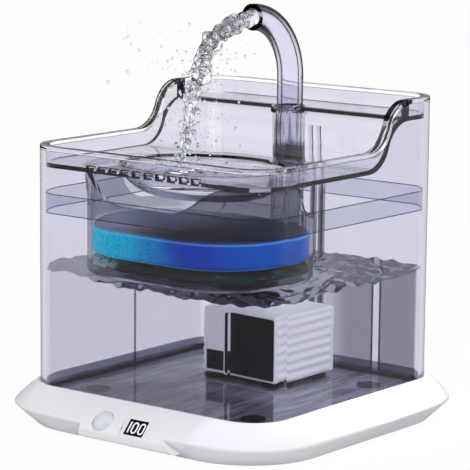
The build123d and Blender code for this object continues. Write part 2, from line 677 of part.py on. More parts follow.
def basket_edge():
    """Everything below the basket's top edge: high tabs at both ends, low towards the rear."""
    high = SHEET_LOW - TAB_GAP
    right, right_end = s_curve((TAB_FLAT, BASKET_MID), TAB_RUN, high - BASKET_MID)
    left, left_end = s_curve((-TAB_FLAT, BASKET_MID), -TAB_RUN, high - BASKET_MID)
    dip = Line((-TAB_FLAT, BASKET_MID), (TAB_FLAT, BASKET_MID))
    rest = Polyline(right_end, (REACH, high), (REACH, -REACH), (-REACH, -REACH), (-REACH, high), left_end)
    ends = extrude(Plane.XZ * make_face([*left, dip, *right, *rest.edges()]), REACH, both=True)
    fall, fall_end = s_curve((REAR_START, high), REAR_RUN, BASKET_REAR - high)
    outline = Polyline(fall_end, (REACH, BASKET_REAR), (REACH, -REACH), (-REACH, -REACH), (-REACH, high),
                       (REAR_START, high))
    side = extrude(Plane.YZ * make_face([*fall, *outline.edges()]), REACH, both=True)
    return ends & side


def filter_basket():
    cup = basket_block(0, BASKET_BOTTOM, REACH)
    cup = fillet(cup.edges().group_by(Axis.Z)[0], 3)
    ear = basket_block(-EAR_PROUD, BASKET_BOTTOM, REACH) & ear_room()
    cup = (cup + ear) & basket_edge()
    cup -= basket_block(BASKET_WALL, BASKET_BOTTOM + BASKET_FLOOR, REACH)
    width, depth = BASKET_SLOT
    slots = [
        place * Box(width, depth, 3 * BASKET_FLOOR)
        for place in GridLocations(*BASKET_SLOT_PITCH, 5, 7)
        if abs(place.position.X) + abs(place.position.Y) < BASKET_CORNER + depth
    ]
    return cup - [Pos(0, BASKET_AT, BASKET_BOTTOM) * slot for slot in slots]


def ear_room():
    """Oval bar through the cup and all above its middle, where the tabs are thicker."""
    middle = BASKET_MID + EAR_RISE
    oval = Pos(0, middle) * Ellipse(EAR_HALF, EAR_DROP)
    above = Pos(0, middle + REACH / 2) * Rectangle(2 * REACH, REACH)
    return extrude(Plane.XZ * (oval + above), REACH, both=True)


def media_pouch():
    """Mesh pouch with two pockets, one for each filling."""
    low = BASKET_BOTTOM + BASKET_FLOOR + STACK_GAP
    pouch = basket_block(BASKET_WALL + FILL_GAP, low, low + POUCH_HEIGHT)
    pouch = fillet(pouch.edges().group_by(Axis.Z)[0] + pouch.edges().group_by(Axis.Z)[-1], 1.5)
    return pouch - media_bed(-1) - media_bed(1)


def media_bed(side):
    """Filling of one pocket of the pouch."""
    low = BASKET_BOTTOM + BASKET_FLOOR + STACK_GAP
    inset = BASKET_WALL + FILL_GAP + MESH
    bed = basket_block(inset, low + MESH, low + POUCH_HEIGHT - MESH)
    return bed & Pos(side * (BASKET_X / 2 + MESH), BASKET_AT, low) * Box(BASKET_X, BASKET_Y, 40)


def filter_sponge():
    low = BASKET_BOTTOM + BASKET_FLOOR + 2 * STACK_GAP + POUCH_HEIGHT
    block = basket_block(BASKET_WALL + FILL_GAP, low, low + SPONGE_HEIGHT)
    return fillet(block.edges().group_by(Axis.Z)[0] + block.edges().group_by(Axis.Z)[-1], 4)


# Pump

def rib_wave(x, out):
    """Soft ribs along one side of the pump: a wave of equal arcs, from the side's face outwards."""
    half_pitch = (PUMP_TOP - PUMP_BOTTOM - 2 * PUMP_EDGE) / (2 * RIB_COUNT)
    low = PUMP_BOTTOM + PUMP_EDGE
    middle = x + out * RIB_PROUD
    arcs = []
    for step in range(2 * RIB_COUNT):
        start = low + half_pitch * step
        bulge = middle + out * (RIB_PROUD if step % 2 == 0 else -RIB_PROUD)
        end = start + half_pitch
        arcs.append(ThreePointArc((middle, start), (bulge, (start + end) / 2), (middle, end)))
    inner, top = x - out * PUMP_WALL / 2, PUMP_TOP - PUMP_EDGE
    rest = Polyline((middle, top), (inner, top), (inner, low), (middle, low))
    front = PUMP_FRONT + 2 * PUMP_EDGE
    face = Plane.XZ.offset(-front) * make_face(arcs + list(rest.edges()))
    return extrude(face, front - PUMP_REAR)


def pump_block(left, front):
    """Block of the pump from left to its right side, with rounded edges."""
    size = Box(PUMP_RIGHT - left, PUMP_REAR - front, PUMP_TOP - PUMP_BOTTOM)
    block = Pos((left + PUMP_RIGHT) / 2, (front + PUMP_REAR) / 2, PUMP_MID) * size
    return fillet(block.edges().filter_by(Axis.Y) + block.edges().group_by(Axis.Y)[0], PUMP_EDGE)


def pump_housing():
    label_side = PUMP_X + LABEL_X - LABEL_WIDTH / 2 - LABEL_EDGE
    body = pump_block(PUMP_LEFT, STRIP_FRONT) + pump_block(label_side, PUMP_FRONT)
    boss = Pos(0, SPOUT_Y) * tube(RISER_BOSS, RISER_RADIUS, PUMP_TOP - 1, PUMP_TOP + RISER_BOSS_HIGH)
    body = body + rib_wave(PUMP_LEFT, -1) + rib_wave(PUMP_RIGHT, 1) + (boss & front_of_intake())
    chamber_front = PUMP_REAR - CHAMBER_DEPTH
    body -= motor_space() - rod(WELL_RADIUS + WELL_TUBE, MOTOR_FRONT, PUMP_REAR)
    body -= rod(WELL_RADIUS, WELL_END, PUMP_REAR)
    body -= rod(BUSH_RADIUS, WELL_END - BUSH_LENGTH, WELL_END)
    body -= rod(CHAMBER_RADIUS, chamber_front, PUMP_REAR)
    outlet = Pos(0, SPOUT_Y)
    body -= outlet * Pos(0, 0, (PUMP_MID + PUMP_TOP) / 2) * Cylinder(RISER_BORE, PUMP_TOP - PUMP_MID)
    body -= outlet * Pos(0, 0, PUMP_TOP) * Cylinder(RISER_RADIUS, 2 * RISER_SINK)
    body -= gland_block(0)
    for place in cup_places():
        body -= place * Pos(0, 0, PUMP_BOTTOM + CUP_SINK / 2) * Cylinder(CUP_STEM, CUP_SINK)
    return body


def motor_space():
    """Sealed space for the motor, in front of the outlet."""
    bottom, top = PUMP_BOTTOM + MOTOR_BASE, PUMP_TOP - PUMP_EDGE - PUMP_WALL / 2
    size = Box(MOTOR_RIGHT - MOTOR_LEFT, MOTOR_REAR - MOTOR_FRONT, top - bottom)
    return Pos((MOTOR_LEFT + MOTOR_RIGHT) / 2, (MOTOR_FRONT + MOTOR_REAR) / 2, (bottom + top) / 2) * size


def front_of_intake():
    """Room in front of the intake cover."""
    return Pos(0, PUMP_REAR - REACH / 2, PUMP_TOP) * Box(REACH, REACH, REACH)


def gland_block(sink):
    """Block in the pocket beside the label, with its face sunk into the pump's front."""
    depth = GLAND_DEPTH - sink
    middle = Pos(PUMP_X + GLAND_X, STRIP_FRONT + sink + depth / 2, PUMP_BOTTOM + GLAND_RISE)
    return middle * Box(GLAND_WIDTH, depth, GLAND_HEIGHT)


def cord_gland():
    """Rubber block, a little below the face, with the ring that a cord would leave through."""
    sink = 0.8
    ring = Pos(PUMP_X + GLAND_X, PUMP_BOTTOM + GLAND_RISE) * (Circle(2.6) - Circle(1.6))
    return gland_block(sink) + extrude(Plane.XZ.offset(-STRIP_FRONT - sink) * ring, sink)


def pump_label_plate():
    plate = Pos(PUMP_X + LABEL_X, PUMP_MID) * RectangleRounded(LABEL_WIDTH, LABEL_HEIGHT, 1.6)
    return extrude(Plane.XZ.offset(-PUMP_FRONT) * plate, LABEL_THICK)


def motor_core():
    """Laminated core: a yoke on the left and two poles round the rotor well."""
    left, middle = core_left(), PUMP_MID
    bore_radius = WELL_RADIUS + WELL_TUBE + FIT
    window_width = -bore_radius - POLE_GAP / 2 - left - CORE_LIMB
    core = Pos((left + CORE_RIGHT) / 2, middle) * Rectangle(CORE_RIGHT - left, CORE_HEIGHT)
    window = Pos(left + CORE_LIMB + window_width / 2, middle) * Rectangle(
        window_width, CORE_HEIGHT - 2 * CORE_LIMB)
    bore = Pos(0, middle) * Circle(bore_radius)
    gap = Pos(left + CORE_LIMB + REACH / 2, middle) * Rectangle(REACH, POLE_GAP)
    front, rear = MOTOR_FRONT + CORE_END, MOTOR_REAR - CORE_END
    return extrude(Plane.XZ.offset(-front) * (core - window - bore - gap), front - rear)


def core_left():
    """Left side of the yoke, with the coil's left flank between it and the wall."""
    return MOTOR_LEFT + 4 * COIL_END


def motor_coil():
    """Coil wound round the yoke."""
    left = core_left()
    right = -WELL_RADIUS - WELL_TUBE - POLE_GAP
    flank = left - MOTOR_LEFT - COIL_END / 2
    middle = (left - flank + right) / 2
    front, rear = MOTOR_FRONT + COIL_END, MOTOR_REAR - COIL_END
    outline = Pos(middle, PUMP_MID) * Rectangle(right - left + flank, COIL_HEIGHT)
    yoke = Pos(left + CORE_LIMB / 2, PUMP_MID) * Rectangle(CORE_LIMB, COIL_HEIGHT + 1)
    coil = extrude(Plane.XZ.offset(-front) * outline, front - rear)
    core_length = MOTOR_REAR - MOTOR_FRONT - 2 * CORE_END
    return coil - extrude(Plane.XZ.offset(-MOTOR_FRONT - CORE_END) * yoke, -core_length)


def chamber_cover():
    """Plate over the impeller with an inlet and a hub for the shaft."""
    plate = Pos(0, PUMP_MID) * RectangleRounded(PLATE_SIDE, PLATE_SIDE, 4)
    inlet = Pos(0, PUMP_MID) * Circle(INLET_RADIUS)
    hub = Pos(0, PUMP_MID) * Circle(HUB_RADIUS + 0.6)
    spokes = [Pos(0, PUMP_MID) * Rot(Z=120 * turn + 90) * Pos(INLET_RADIUS / 2 + 0.4) * Rectangle(
        INLET_RADIUS + 0.8, SPOKE) for turn in range(3)]
    face = (plate - inlet) + hub + spokes
    face -= Pos(0, PUMP_MID) * Circle(BUSH_RADIUS)
    return extrude(Plane.XZ.offset(-PUMP_REAR) * face, -PLATE_THICK)


def intake_cover():
    """Slotted box over the rear of the pump."""
    rear = PUMP_REAR + INTAKE_DEPTH
    width, height = 2 * PUMP_HALF, PUMP_TOP - PUMP_BOTTOM
    box = Pos(PUMP_X, (PUMP_REAR + rear) / 2, PUMP_MID) * Box(width, INTAKE_DEPTH, height)
    box = fillet(box.edges().filter_by(Axis.Y) + box.edges().group_by(Axis.Y)[-1], PUMP_EDGE)
    inner_x, inner_z = width - 2 * INTAKE_WALL, height - 2 * INTAKE_WALL
    depth = INTAKE_DEPTH - INTAKE_WALL
    box -= Pos(PUMP_X, PUMP_REAR + depth / 2, PUMP_MID) * Box(inner_x, depth, inner_z)
    slot_x, slot_z = INTAKE_SLOT
    for step in range(INTAKE_SLOTS):
        x = PUMP_X + (step - (INTAKE_SLOTS - 1) / 2) * INTAKE_PITCH
        box -= Pos(x, rear, PUMP_MID) * Box(slot_x, 4 * INTAKE_WALL, slot_z)
    return box


def impeller():
    """Disc with curved blades and a stem through the magnet."""
    front = PUMP_REAR - CHAMBER_DEPTH + 0.8
    disc = rod(IMPELLER_RADIUS, front, front + IMPELLER_DISC)
    arc = ThreePointArc((2.6, 0), (6.8, 1.5), (IMPELLER_RADIUS - 0.3, 5.0 - 0.6))
    blade = trace(arc, BLADE_THICK) & Circle(IMPELLER_RADIUS)
    blades = Sketch() + [Rot(Z=360 * turn / BLADES) * blade for turn in range(BLADES)]
    vanes = extrude(Plane.XZ.offset(-front - IMPELLER_DISC) * Pos(0, PUMP_MID) * blades, -BLADE_HEIGHT)
    stem = rod(STEM_RADIUS, WELL_END + 1.0, front)
    hub = rod(STEM_RADIUS + 0.8, front, front + IMPELLER_DISC + BLADE_HEIGHT)
    return disc + vanes + stem + hub - rod(SHAFT_RADIUS + SHAFT_FIT, WELL_END, PUMP_REAR)


def rotor_magnet():
    front = WELL_END + 2.0
    rear = PUMP_REAR - CHAMBER_DEPTH + 0.2
    return rod(MAGNET_RADIUS, front, rear) - rod(STEM_RADIUS, front - 1, rear + 1)


def rotor_shaft():
    return rod(SHAFT_RADIUS, WELL_END - BUSH_LENGTH, PUMP_REAR + PLATE_THICK)


def shaft_bushes():
    front = rod(BUSH_RADIUS, WELL_END - BUSH_LENGTH, WELL_END)
    rear = rod(BUSH_RADIUS, PUMP_REAR + PLATE_THICK - BUSH_LENGTH, PUMP_REAR + PLATE_THICK)
    shaft = rotor_shaft()
    return [front - shaft, rear - shaft]


def outlet_riser():
    """White tube from the pump up to the spout, narrower where the spout goes over it."""
    foot = PUMP_TOP - RISER_SINK
    shoulder = SPOUT_BOTTOM - LIP_GAP
    body = tube(RISER_RADIUS, RISER_BORE, foot, shoulder)
    spigot = tube(SPIGOT_RADIUS, RISER_BORE, shoulder, shoulder + SPIGOT_LENGTH)
    groove = tube(SPIGOT_RADIUS + 1, SPIGOT_RADIUS - SEAL_THICK / 2, shoulder + 6, shoulder + 7)
    return Pos(0, SPOUT_Y) * (body + spigot - groove)


def riser_seal():
    """Ring in the groove of the riser, just clear of the spout's bore."""
    shoulder = SPOUT_BOTTOM - LIP_GAP
    inner = SPIGOT_RADIUS - SEAL_THICK / 2
    return Pos(0, SPOUT_Y) * tube(SPOUT_BORE - 0.06, inner, shoulder + 6, shoulder + 7)


def cup_places():
    depth = PUMP_REAR - PUMP_FRONT
    middle = (PUMP_FRONT + PUMP_REAR) / 2
    return [Pos(PUMP_X, middle) * place for place in corners(PUMP_HALF - CUP_INSET, depth / 2 - CUP_INSET)]


def suction_cups():
    """Soft cup with a stem plugged into the pump."""
    height = PUMP_BOTTOM - TANK_BED
    line = Polyline((0, 0), (CUP_RADIUS, 0), (CUP_RADIUS, 0.5), (CUP_STEM + 1.2, height * 0.6),
                    (CUP_STEM + 0.6, height), (CUP_STEM, height), (CUP_STEM, height + CUP_SINK),
                    (0, height + CUP_SINK), (0, 0))
    cup = revolve(Plane.XZ * make_face(line.edges()), Axis.Z)
    return [place * Pos(0, 0, TANK_BED) * cup for place in cup_places()]


NODES = [
    base_housing, base_deck, base_bottom_cover, base_screws, rubber_feet, sensor_lens, sensor_module,
    display_bezel, display_window, display_module, control_board, battery_pack, charge_socket,
    power_button, tank, tank_pads, level_band, tray, spout_collar, spout, filter_basket,
    filter_sponge, media_pouch, pump_housing, pump_label_plate, cord_gland, motor_core, motor_coil,
    chamber_cover, intake_cover, impeller, rotor_magnet, rotor_shaft, shaft_bushes, outlet_riser,
    riser_seal, suction_cups,
]


def main():
    os.makedirs("parts", exist_ok=True)
    pieces = {make.__name__: make() for make in NODES}
    pieces["carbon_bed"] = media_bed(1)
    pieces["resin_bed"] = media_bed(-1)
    for name, piece in pieces.items():
        solids = piece if isinstance(piece, list) else [piece]
        export_step(Compound([solid for one in solids for solid in one.solids()]), f"parts/{name}.step")


main()
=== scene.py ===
"""Finishes, soft pieces, water, light and camera for a square pet water fountain."""

import json
from math import radians

import bpy
import numpy as np
from mathutils import Matrix, Vector


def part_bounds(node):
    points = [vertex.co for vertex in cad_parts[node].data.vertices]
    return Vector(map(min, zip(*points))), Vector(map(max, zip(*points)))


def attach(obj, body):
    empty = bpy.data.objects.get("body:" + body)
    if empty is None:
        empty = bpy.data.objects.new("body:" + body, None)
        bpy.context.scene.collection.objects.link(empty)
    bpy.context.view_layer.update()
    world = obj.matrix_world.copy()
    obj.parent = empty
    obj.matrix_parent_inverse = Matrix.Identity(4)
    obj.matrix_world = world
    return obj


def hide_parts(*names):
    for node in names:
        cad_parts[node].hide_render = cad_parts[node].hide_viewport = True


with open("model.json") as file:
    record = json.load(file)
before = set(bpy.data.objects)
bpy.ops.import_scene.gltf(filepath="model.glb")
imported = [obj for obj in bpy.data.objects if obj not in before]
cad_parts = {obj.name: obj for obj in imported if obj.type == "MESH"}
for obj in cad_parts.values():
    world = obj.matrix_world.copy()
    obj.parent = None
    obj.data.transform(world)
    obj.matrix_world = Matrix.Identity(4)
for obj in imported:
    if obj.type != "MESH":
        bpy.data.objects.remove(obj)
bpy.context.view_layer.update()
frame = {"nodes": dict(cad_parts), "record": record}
MM = 0.001


def part_box(node):
    """Lowest and highest corner of a CAD part at rest, in millimetres."""
    low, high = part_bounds(node)
    return np.array(low) / MM, np.array(high) / MM


# Places of the CAD parts that the new pieces and patterns meet, in millimetres
TANK_LOW, TANK_HIGH = part_box("tank")
TANK_WALL = 3.0
TANK_BED = TANK_LOW[2] + TANK_WALL
TANK_INSIDE = TANK_HIGH[0] - TANK_WALL
TANK_CORNER = 19.0  # inside
PAD_AT = (54.0, 52.0)
GUIDE_X, GUIDE_HALF = -3.0, 2.9  # middle of the cord guide, and how far to either side a rib is
BAND_LOW, BAND_HIGH = (corner[2] for corner in part_box("level_band"))
SPONGE_LOW, SPONGE_HIGH = part_box("filter_sponge")
POUCH_LOW, POUCH_HIGH = part_box("media_pouch")
BASKET_Y = (SPONGE_LOW[1] + SPONGE_HIGH[1]) / 2
FOAM_LOW, FOAM_TOP = SPONGE_LOW[2], SPONGE_HIGH[2] - 2.5  # the sponge's side ends here and its top begins
SHEET_LOW = 142.7  # underside of the tray's sheet at the front
S_START, S_HALF_RUN, S_HALF_RISE = 13.5, 18.0, 12.95  # S-curve of that underside, by y and z
S_RADIUS = (S_HALF_RUN ** 2 + S_HALF_RISE ** 2) / (2 * S_HALF_RISE)
DRAIN_PITCH, DRAIN_HALF_ROW = 8.0, 40.0
SPOUT_Y = 49.0
BOWL_HALF_X, BOWL_HALF_Y, BOWL_Y, BOWL_DEPTH = 50.0, 38.5, -26.0, 14.5

# Reaches of the patterns, in millimetres, and the colour of the painted shade lines
PAD_INK = 6.4  # from the middle of a pad
GUIDE_SHADE_TOP = 128.0  # the painted shade lines on the cord guide end here, below the top of its ribs
SLEEVE_SHADE_REACH, SLEEVE_SHADE_TOP = 10.8, 168.0  # painted reflection streaks and shade of the spout's sleeve, from the spout's axis
FOOT_TOP = 144.0  # the sleeve's painted shade is darkest up to here
LINE_SOFT = 0.3  # width over which the edge of a line fades
SHADE_LINE_COLOUR = (0.002, 0.002, 0.003, 1)


# Node helpers

class Board:
    """Lays out one node tree: put() adds a node, join() wires two sockets."""

    def __init__(self, tree):
        self.tree = tree

    def put(self, kind, **values):
        """New node of this kind, with these settings."""
        node = self.tree.nodes.new(kind)
        for key, value in values.items():
            setattr(node, key, value)
        return node

    def join(self, source, target):
        """Wire from an output to an input."""
        self.tree.links.new(source, target)

    def fill(self, sockets, values):
        """Wire or set each socket, whichever its value asks for."""
        for socket, value in zip(sockets, values):
            if isinstance(value, bpy.types.NodeSocket):
                self.join(value, socket)
            else:
                socket.default_value = value

    def maths(self, operation, *values):
        """Result of one sum; a value is a number or a socket."""
        node = self.put("ShaderNodeMath", operation=operation)
        self.fill(node.inputs, values)
        return node.outputs[0]

    def span(self, value, low, high, to_low=0.0, to_high=1.0):
        """Smooth change from to_low to to_high while value goes from low to high."""
        node = self.put("ShaderNodeMapRange", interpolation_type="SMOOTHSTEP")
        self.fill(node.inputs, (value, low, high, to_low, to_high))
        return node.outputs["Result"]

    def within(self, value, low, high, soft):
        """1 between low and high, falling to 0 over soft."""
        rise = self.span(value, low - soft, low)
        return self.maths("MULTIPLY", rise, self.span(value, high, high + soft, 1.0, 0.0))

    def blend(self, share, first, second):
        """Colour that goes from the first to the second as share goes from 0 to 1."""
        node = self.put("ShaderNodeMix", data_type="RGBA")
        self.fill((node.inputs[0], node.inputs[6], node.inputs[7]), (share, first, second))
        return node.outputs[2]

    def reach(self, first, second):
        """Length of the flat vector with these two parts."""
        squares = [self.maths("MULTIPLY", part, part) for part in (first, second)]
        return self.maths("SQRT", self.maths("ADD", *squares))

    def place(self):
        """Object coordinates in millimetres, as (vector, x, y, z)."""
        spot = self.put("ShaderNodeVectorMath", operation="SCALE")
        self.join(self.put("ShaderNodeTexCoord").outputs["Object"], spot.inputs[0])
        spot.inputs["Scale"].default_value = 1 / MM
        parts = self.put("ShaderNodeSeparateXYZ")
        self.join(spot.outputs[0], parts.inputs[0])
        return (spot.outputs[0], *parts.outputs)

    def noise(self, place, scale, detail=2.0, roughness=0.5, stretch=None):
        """Cloudy value round 0.5; stretch gives the scale along each axis, for streaks."""
        if stretch:
            turn = self.put("ShaderNodeMapping")
            self.join(place, turn.inputs["Vector"])
            turn.inputs["Scale"].default_value = stretch
            place = turn.outputs[0]
        node = self.put("ShaderNodeTexNoise")
        self.join(place, node.inputs["Vector"])
        self.fill((node.inputs["Scale"], node.inputs["Detail"], node.inputs["Roughness"]),
                  (scale, detail, roughness))
        return node.outputs["Fac"]


def rgba(colour):
    """Colour with full alpha."""
    return (*colour, 1.0)


def new_group(name, inputs, outputs):
    """Empty shader group with its sockets, as (tree, board, entry, exit)."""
    tree = bpy.data.node_groups.new(name, "ShaderNodeTree")
    for label, kind, value in inputs:
        socket = tree.interface.new_socket(label, in_out="INPUT", socket_type=kind)
        socket.default_value = value
    for label, kind in outputs:
        tree.interface.new_socket(label, in_out="OUTPUT", socket_type=kind)
    board = Board(tree)
    return tree, board, board.put("NodeGroupInput").outputs, board.put("NodeGroupOutput").inputs


COLOUR, NUMBER, DIRECTION = "NodeSocketColor", "NodeSocketFloat", "NodeSocketVector"


def moulding_group():
    """Fine unevenness of moulded plastic: cloudy colour, varied gloss and a shallow ripple."""
    tree, board, entry, leave = new_group(
        "moulded plastic",
        [("Colour", COLOUR, (1, 1, 1, 1)), ("Shade", NUMBER, 0.04), ("Gloss", NUMBER, 0.3),
         ("Gloss Spread", NUMBER, 0.08), ("Grain", NUMBER, 0.9), ("Depth", NUMBER, 0.02)],
        [("Colour", COLOUR), ("Roughness", NUMBER), ("Normal", DIRECTION)])
    place = board.place()[0]
    cloud = board.maths("SUBTRACT", board.noise(place, 0.028, 3.0), 0.5)
    tone = board.put("ShaderNodeVectorMath", operation="SCALE")
    board.join(entry["Colour"], tone.inputs[0])
    board.join(board.maths("MULTIPLY_ADD", cloud, entry["Shade"], 1.0), tone.inputs["Scale"])
    board.join(tone.outputs[0], leave["Colour"])
    smear = board.maths("SUBTRACT", board.noise(place, 0.075, 4.0, 0.6), 0.5)
    roughness = board.maths("MULTIPLY_ADD", smear, entry["Gloss Spread"], entry["Gloss"])
    board.join(roughness, leave["Roughness"])
    bump = board.put("ShaderNodeBump")
    bump.inputs["Distance"].default_value = 0.4 * MM
    board.join(entry["Depth"], bump.inputs["Strength"])
    board.join(board.noise(place, entry["Grain"]), bump.inputs["Height"])
    board.join(bump.outputs["Normal"], leave["Normal"])
    return tree


MOULDING = moulding_group()


def start_material(name):
    """Empty material, as (board, output node, material)."""
    material = bpy.data.materials.new(name)
    material.use_nodes = True
    material.node_tree.nodes.clear()
    board = Board(material.node_tree)
    return board, board.put("ShaderNodeOutputMaterial"), material


def finish(board, colour, shade, gloss, spread, grain, depth):
    """The moulding group with its values, wired to a new Principled BSDF."""
    group = board.put("ShaderNodeGroup", node_tree=MOULDING)
    board.fill(group.inputs, (colour, shade, gloss, spread, grain, depth))
    cover = board.put("ShaderNodeBsdfPrincipled")
    board.join(group.outputs["Colour"], cover.inputs["Base Color"])
    board.join(group.outputs["Roughness"], cover.inputs["Roughness"])
    board.join(group.outputs["Normal"], cover.inputs["Normal"])
    return cover


def moulded(name, colour, gloss=0.3, spread=0.08, shade=0.04, grain=0.9, depth=0.02, paint=None, **extra):
    """Opaque plastic, rubber, foam or metal; paint(board, colour) returns a patterned colour."""
    board, out, material = start_material(name)
    base = paint(board, rgba(colour)) if paint else rgba(colour)
    cover = finish(board, base, shade, gloss, spread, grain, depth)
    for label, value in extra.items():
        cover.inputs[label.replace("_", " ")].default_value = value
    board.join(cover.outputs[0], out.inputs["Surface"])
    return material


LAMP_TINT = (0.95, 0.95, 0.97)


def clear(name, tint, edge=None, edge_from=0.8, edge_to=1.0, gloss=0.02, ior=1.3, paint=None, grain=0.06,
          depth=0.02):
    """Clear plastic or water that lets lamps through; seen edge on, it turns to the edge colour, painted
    shade for the dark edges that refraction gives.
    """
    board, out, material = start_material(name)
    colour = paint(board, rgba(tint)) if paint else rgba(tint)
    if edge:
        # painted shade where the surface is seen edge on
        slant = board.put("ShaderNodeLayerWeight").outputs["Facing"]
        colour = board.blend(board.span(slant, edge_from, edge_to), colour, rgba(edge))
    cover = finish(board, colour, 0.03, gloss, gloss, grain, depth)
    cover.inputs["Transmission Weight"].default_value = 1.0
    cover.inputs["IOR"].default_value = ior
    film = board.put("ShaderNodeBsdfTransparent")
    film.inputs[0].default_value = rgba(LAMP_TINT)
    mix = board.put("ShaderNodeMixShader")
    board.join(board.put("ShaderNodeLightPath").outputs["Is Shadow Ray"], mix.inputs[0])
    board.join(cover.outputs[0], mix.inputs[1])
    board.join(film.outputs[0], mix.inputs[2])
    board.join(mix.outputs[0], out.inputs["Surface"])
    return material


# Patterns that follow the parts

def tank_paint(board, tint):
    """Clear walls with painted shade at the rear and left; a floor painted in shade, with painted
    reflection streaks, pads and a painted shade line round its edge; painted shade lines along the cord
    guide's ribs.
    """
    place, x, y, z = board.place()
    # painted shade: the rear and left walls are darker
    far = board.maths("MAXIMUM", board.span(y, 76.0, 76.8), board.span(x, -76.8, -76.0, 1.0, 0.0))
    wall = board.blend(far, tint, (0.72, 0.72, 0.795, 1))
    # painted reflection streaks over a floor painted in shade
    reflection_streak = board.noise(place, 1.0, 4.0, 0.65, stretch=(0.30, 0.025, 0.1))
    shade_tint = board.blend(board.span(reflection_streak, 0.38, 0.60), (0.19, 0.19, 0.22, 1), (0.48, 0.48, 0.54, 1))
    inner = board.maths("MAXIMUM", board.maths("ABSOLUTE", x), board.maths("ABSOLUTE", y))
    # painted shade line round the edge of the floor
    outline = board.within(inner, TANK_INSIDE - 3.9, TANK_INSIDE - 0.7, LINE_SOFT)
    shade_tint = board.blend(outline, shade_tint, (0.006, 0.006, 0.009, 1))
    pad = board.reach(board.maths("SUBTRACT", board.maths("ABSOLUTE", x), PAD_AT[0]),
                      board.maths("SUBTRACT", board.maths("ABSOLUTE", y), PAD_AT[1]))
    shade_tint = board.blend(board.span(pad, PAD_INK, PAD_INK + 0.6, 1.0, 0.0), shade_tint, (0.004, 0.004, 0.006, 1))
    floor = board.span(z, TANK_BED + 1.5, TANK_BED + 2.3, 1.0, 0.0)
    # painted shade lines along the edges of the cord guide's ribs
    guide = board.maths("ABSOLUTE", board.maths("SUBTRACT", x, GUIDE_X))
    guide = board.maths("ABSOLUTE", board.maths("SUBTRACT", guide, GUIDE_HALF))
    guide = board.within(guide, -1.0, 0.75, 0.2)
    guide = board.maths("MULTIPLY", guide, board.span(y, 76.2, 76.6))
    guide = board.maths("MULTIPLY", guide, board.span(z, GUIDE_SHADE_TOP - 10.0, GUIDE_SHADE_TOP, 1.0, 0.0))
    return board.blend(guide, board.blend(floor, wall, shade_tint), (0.10, 0.10, 0.12, 1))


def over_sheet(board, y, z):
    """Distance above the underside of the tray's sheet: level, two equal arcs of the S, level again.

    The way along the S is counted from both its ends, each count stopped at its middle. Each gives how
    far above or below its centre an arc is: the root of the radius squared less the count squared. The
    sheet's rise is the last of these less the first, plus half of the whole rise. The one of the nearer
    end over the radius is the cosine of the slope, which turns upright distance into distance square to
    the sheet.
    """
    along = board.maths("MAXIMUM", board.maths("SUBTRACT", y, S_START), 0.0)
    along = board.maths("MINIMUM", along, 2 * S_HALF_RUN)
    first = board.maths("MINIMUM", along, S_HALF_RUN)
    last = board.maths("MINIMUM", board.maths("SUBTRACT", 2 * S_HALF_RUN, along), S_HALF_RUN)
    heights = []
    for part in (first, last, board.maths("MINIMUM", first, last)):
        square = board.maths("SUBTRACT", S_RADIUS ** 2, board.maths("MULTIPLY", part, part))
        heights.append(board.maths("SQRT", square))
    rise = board.maths("ADD", board.maths("SUBTRACT", heights[1], heights[0]), S_HALF_RISE)
    over = board.maths("SUBTRACT", z, board.maths("ADD", rise, SHEET_LOW))
    return board.maths("MULTIPLY", over, board.maths("DIVIDE", heights[2], S_RADIUS))


def sheet_lines(board, x, y, z):
    """Painted shade: a dark line along the edge of the tray's sheet, dark dashes in the drains, and a dark
    line at the fold of the shelf.
    """
    side = board.maths("MAXIMUM", board.maths("ABSOLUTE", x), board.maths("ABSOLUTE", y))
    line = board.within(over_sheet(board, y, z), -0.4, 2.1, LINE_SOFT)
    line = board.maths("MULTIPLY", line, board.span(side, 76.6, 77.0))
    pitch = board.maths("FRACT", board.maths("DIVIDE", x, DRAIN_PITCH))
    off = board.maths("ABSOLUTE", board.maths("SUBTRACT", pitch, 0.5))
    off = board.maths("MULTIPLY", off, DRAIN_PITCH)
    tall = board.within(z, SHEET_LOW - 0.4, SHEET_LOW + 3.7, 0.2)
    dash = board.maths("MULTIPLY", board.span(off, 2.7, 3.0, 1.0, 0.0), tall)
    row = board.span(board.maths("ABSOLUTE", x), DRAIN_HALF_ROW, DRAIN_HALF_ROW + 0.4, 1.0, 0.0)
    drains = board.maths("MULTIPLY", board.span(y, -77.0, -76.6, 1.0, 0.0), row)
    line = board.maths("MULTIPLY", line, board.maths("SUBTRACT", 1.0, drains))
    line = board.maths("ADD", line, board.maths("MULTIPLY", drains, dash))
    s_end, shelf = S_START + 2 * S_HALF_RUN, SHEET_LOW + 2 * S_HALF_RISE
    fold = board.within(y, s_end - 5.5, s_end + 0.3, LINE_SOFT)
    fold = board.maths("MULTIPLY", fold, board.span(z, shelf - 2.2, shelf - 1.8))
    return board.maths("MAXIMUM", line, fold)


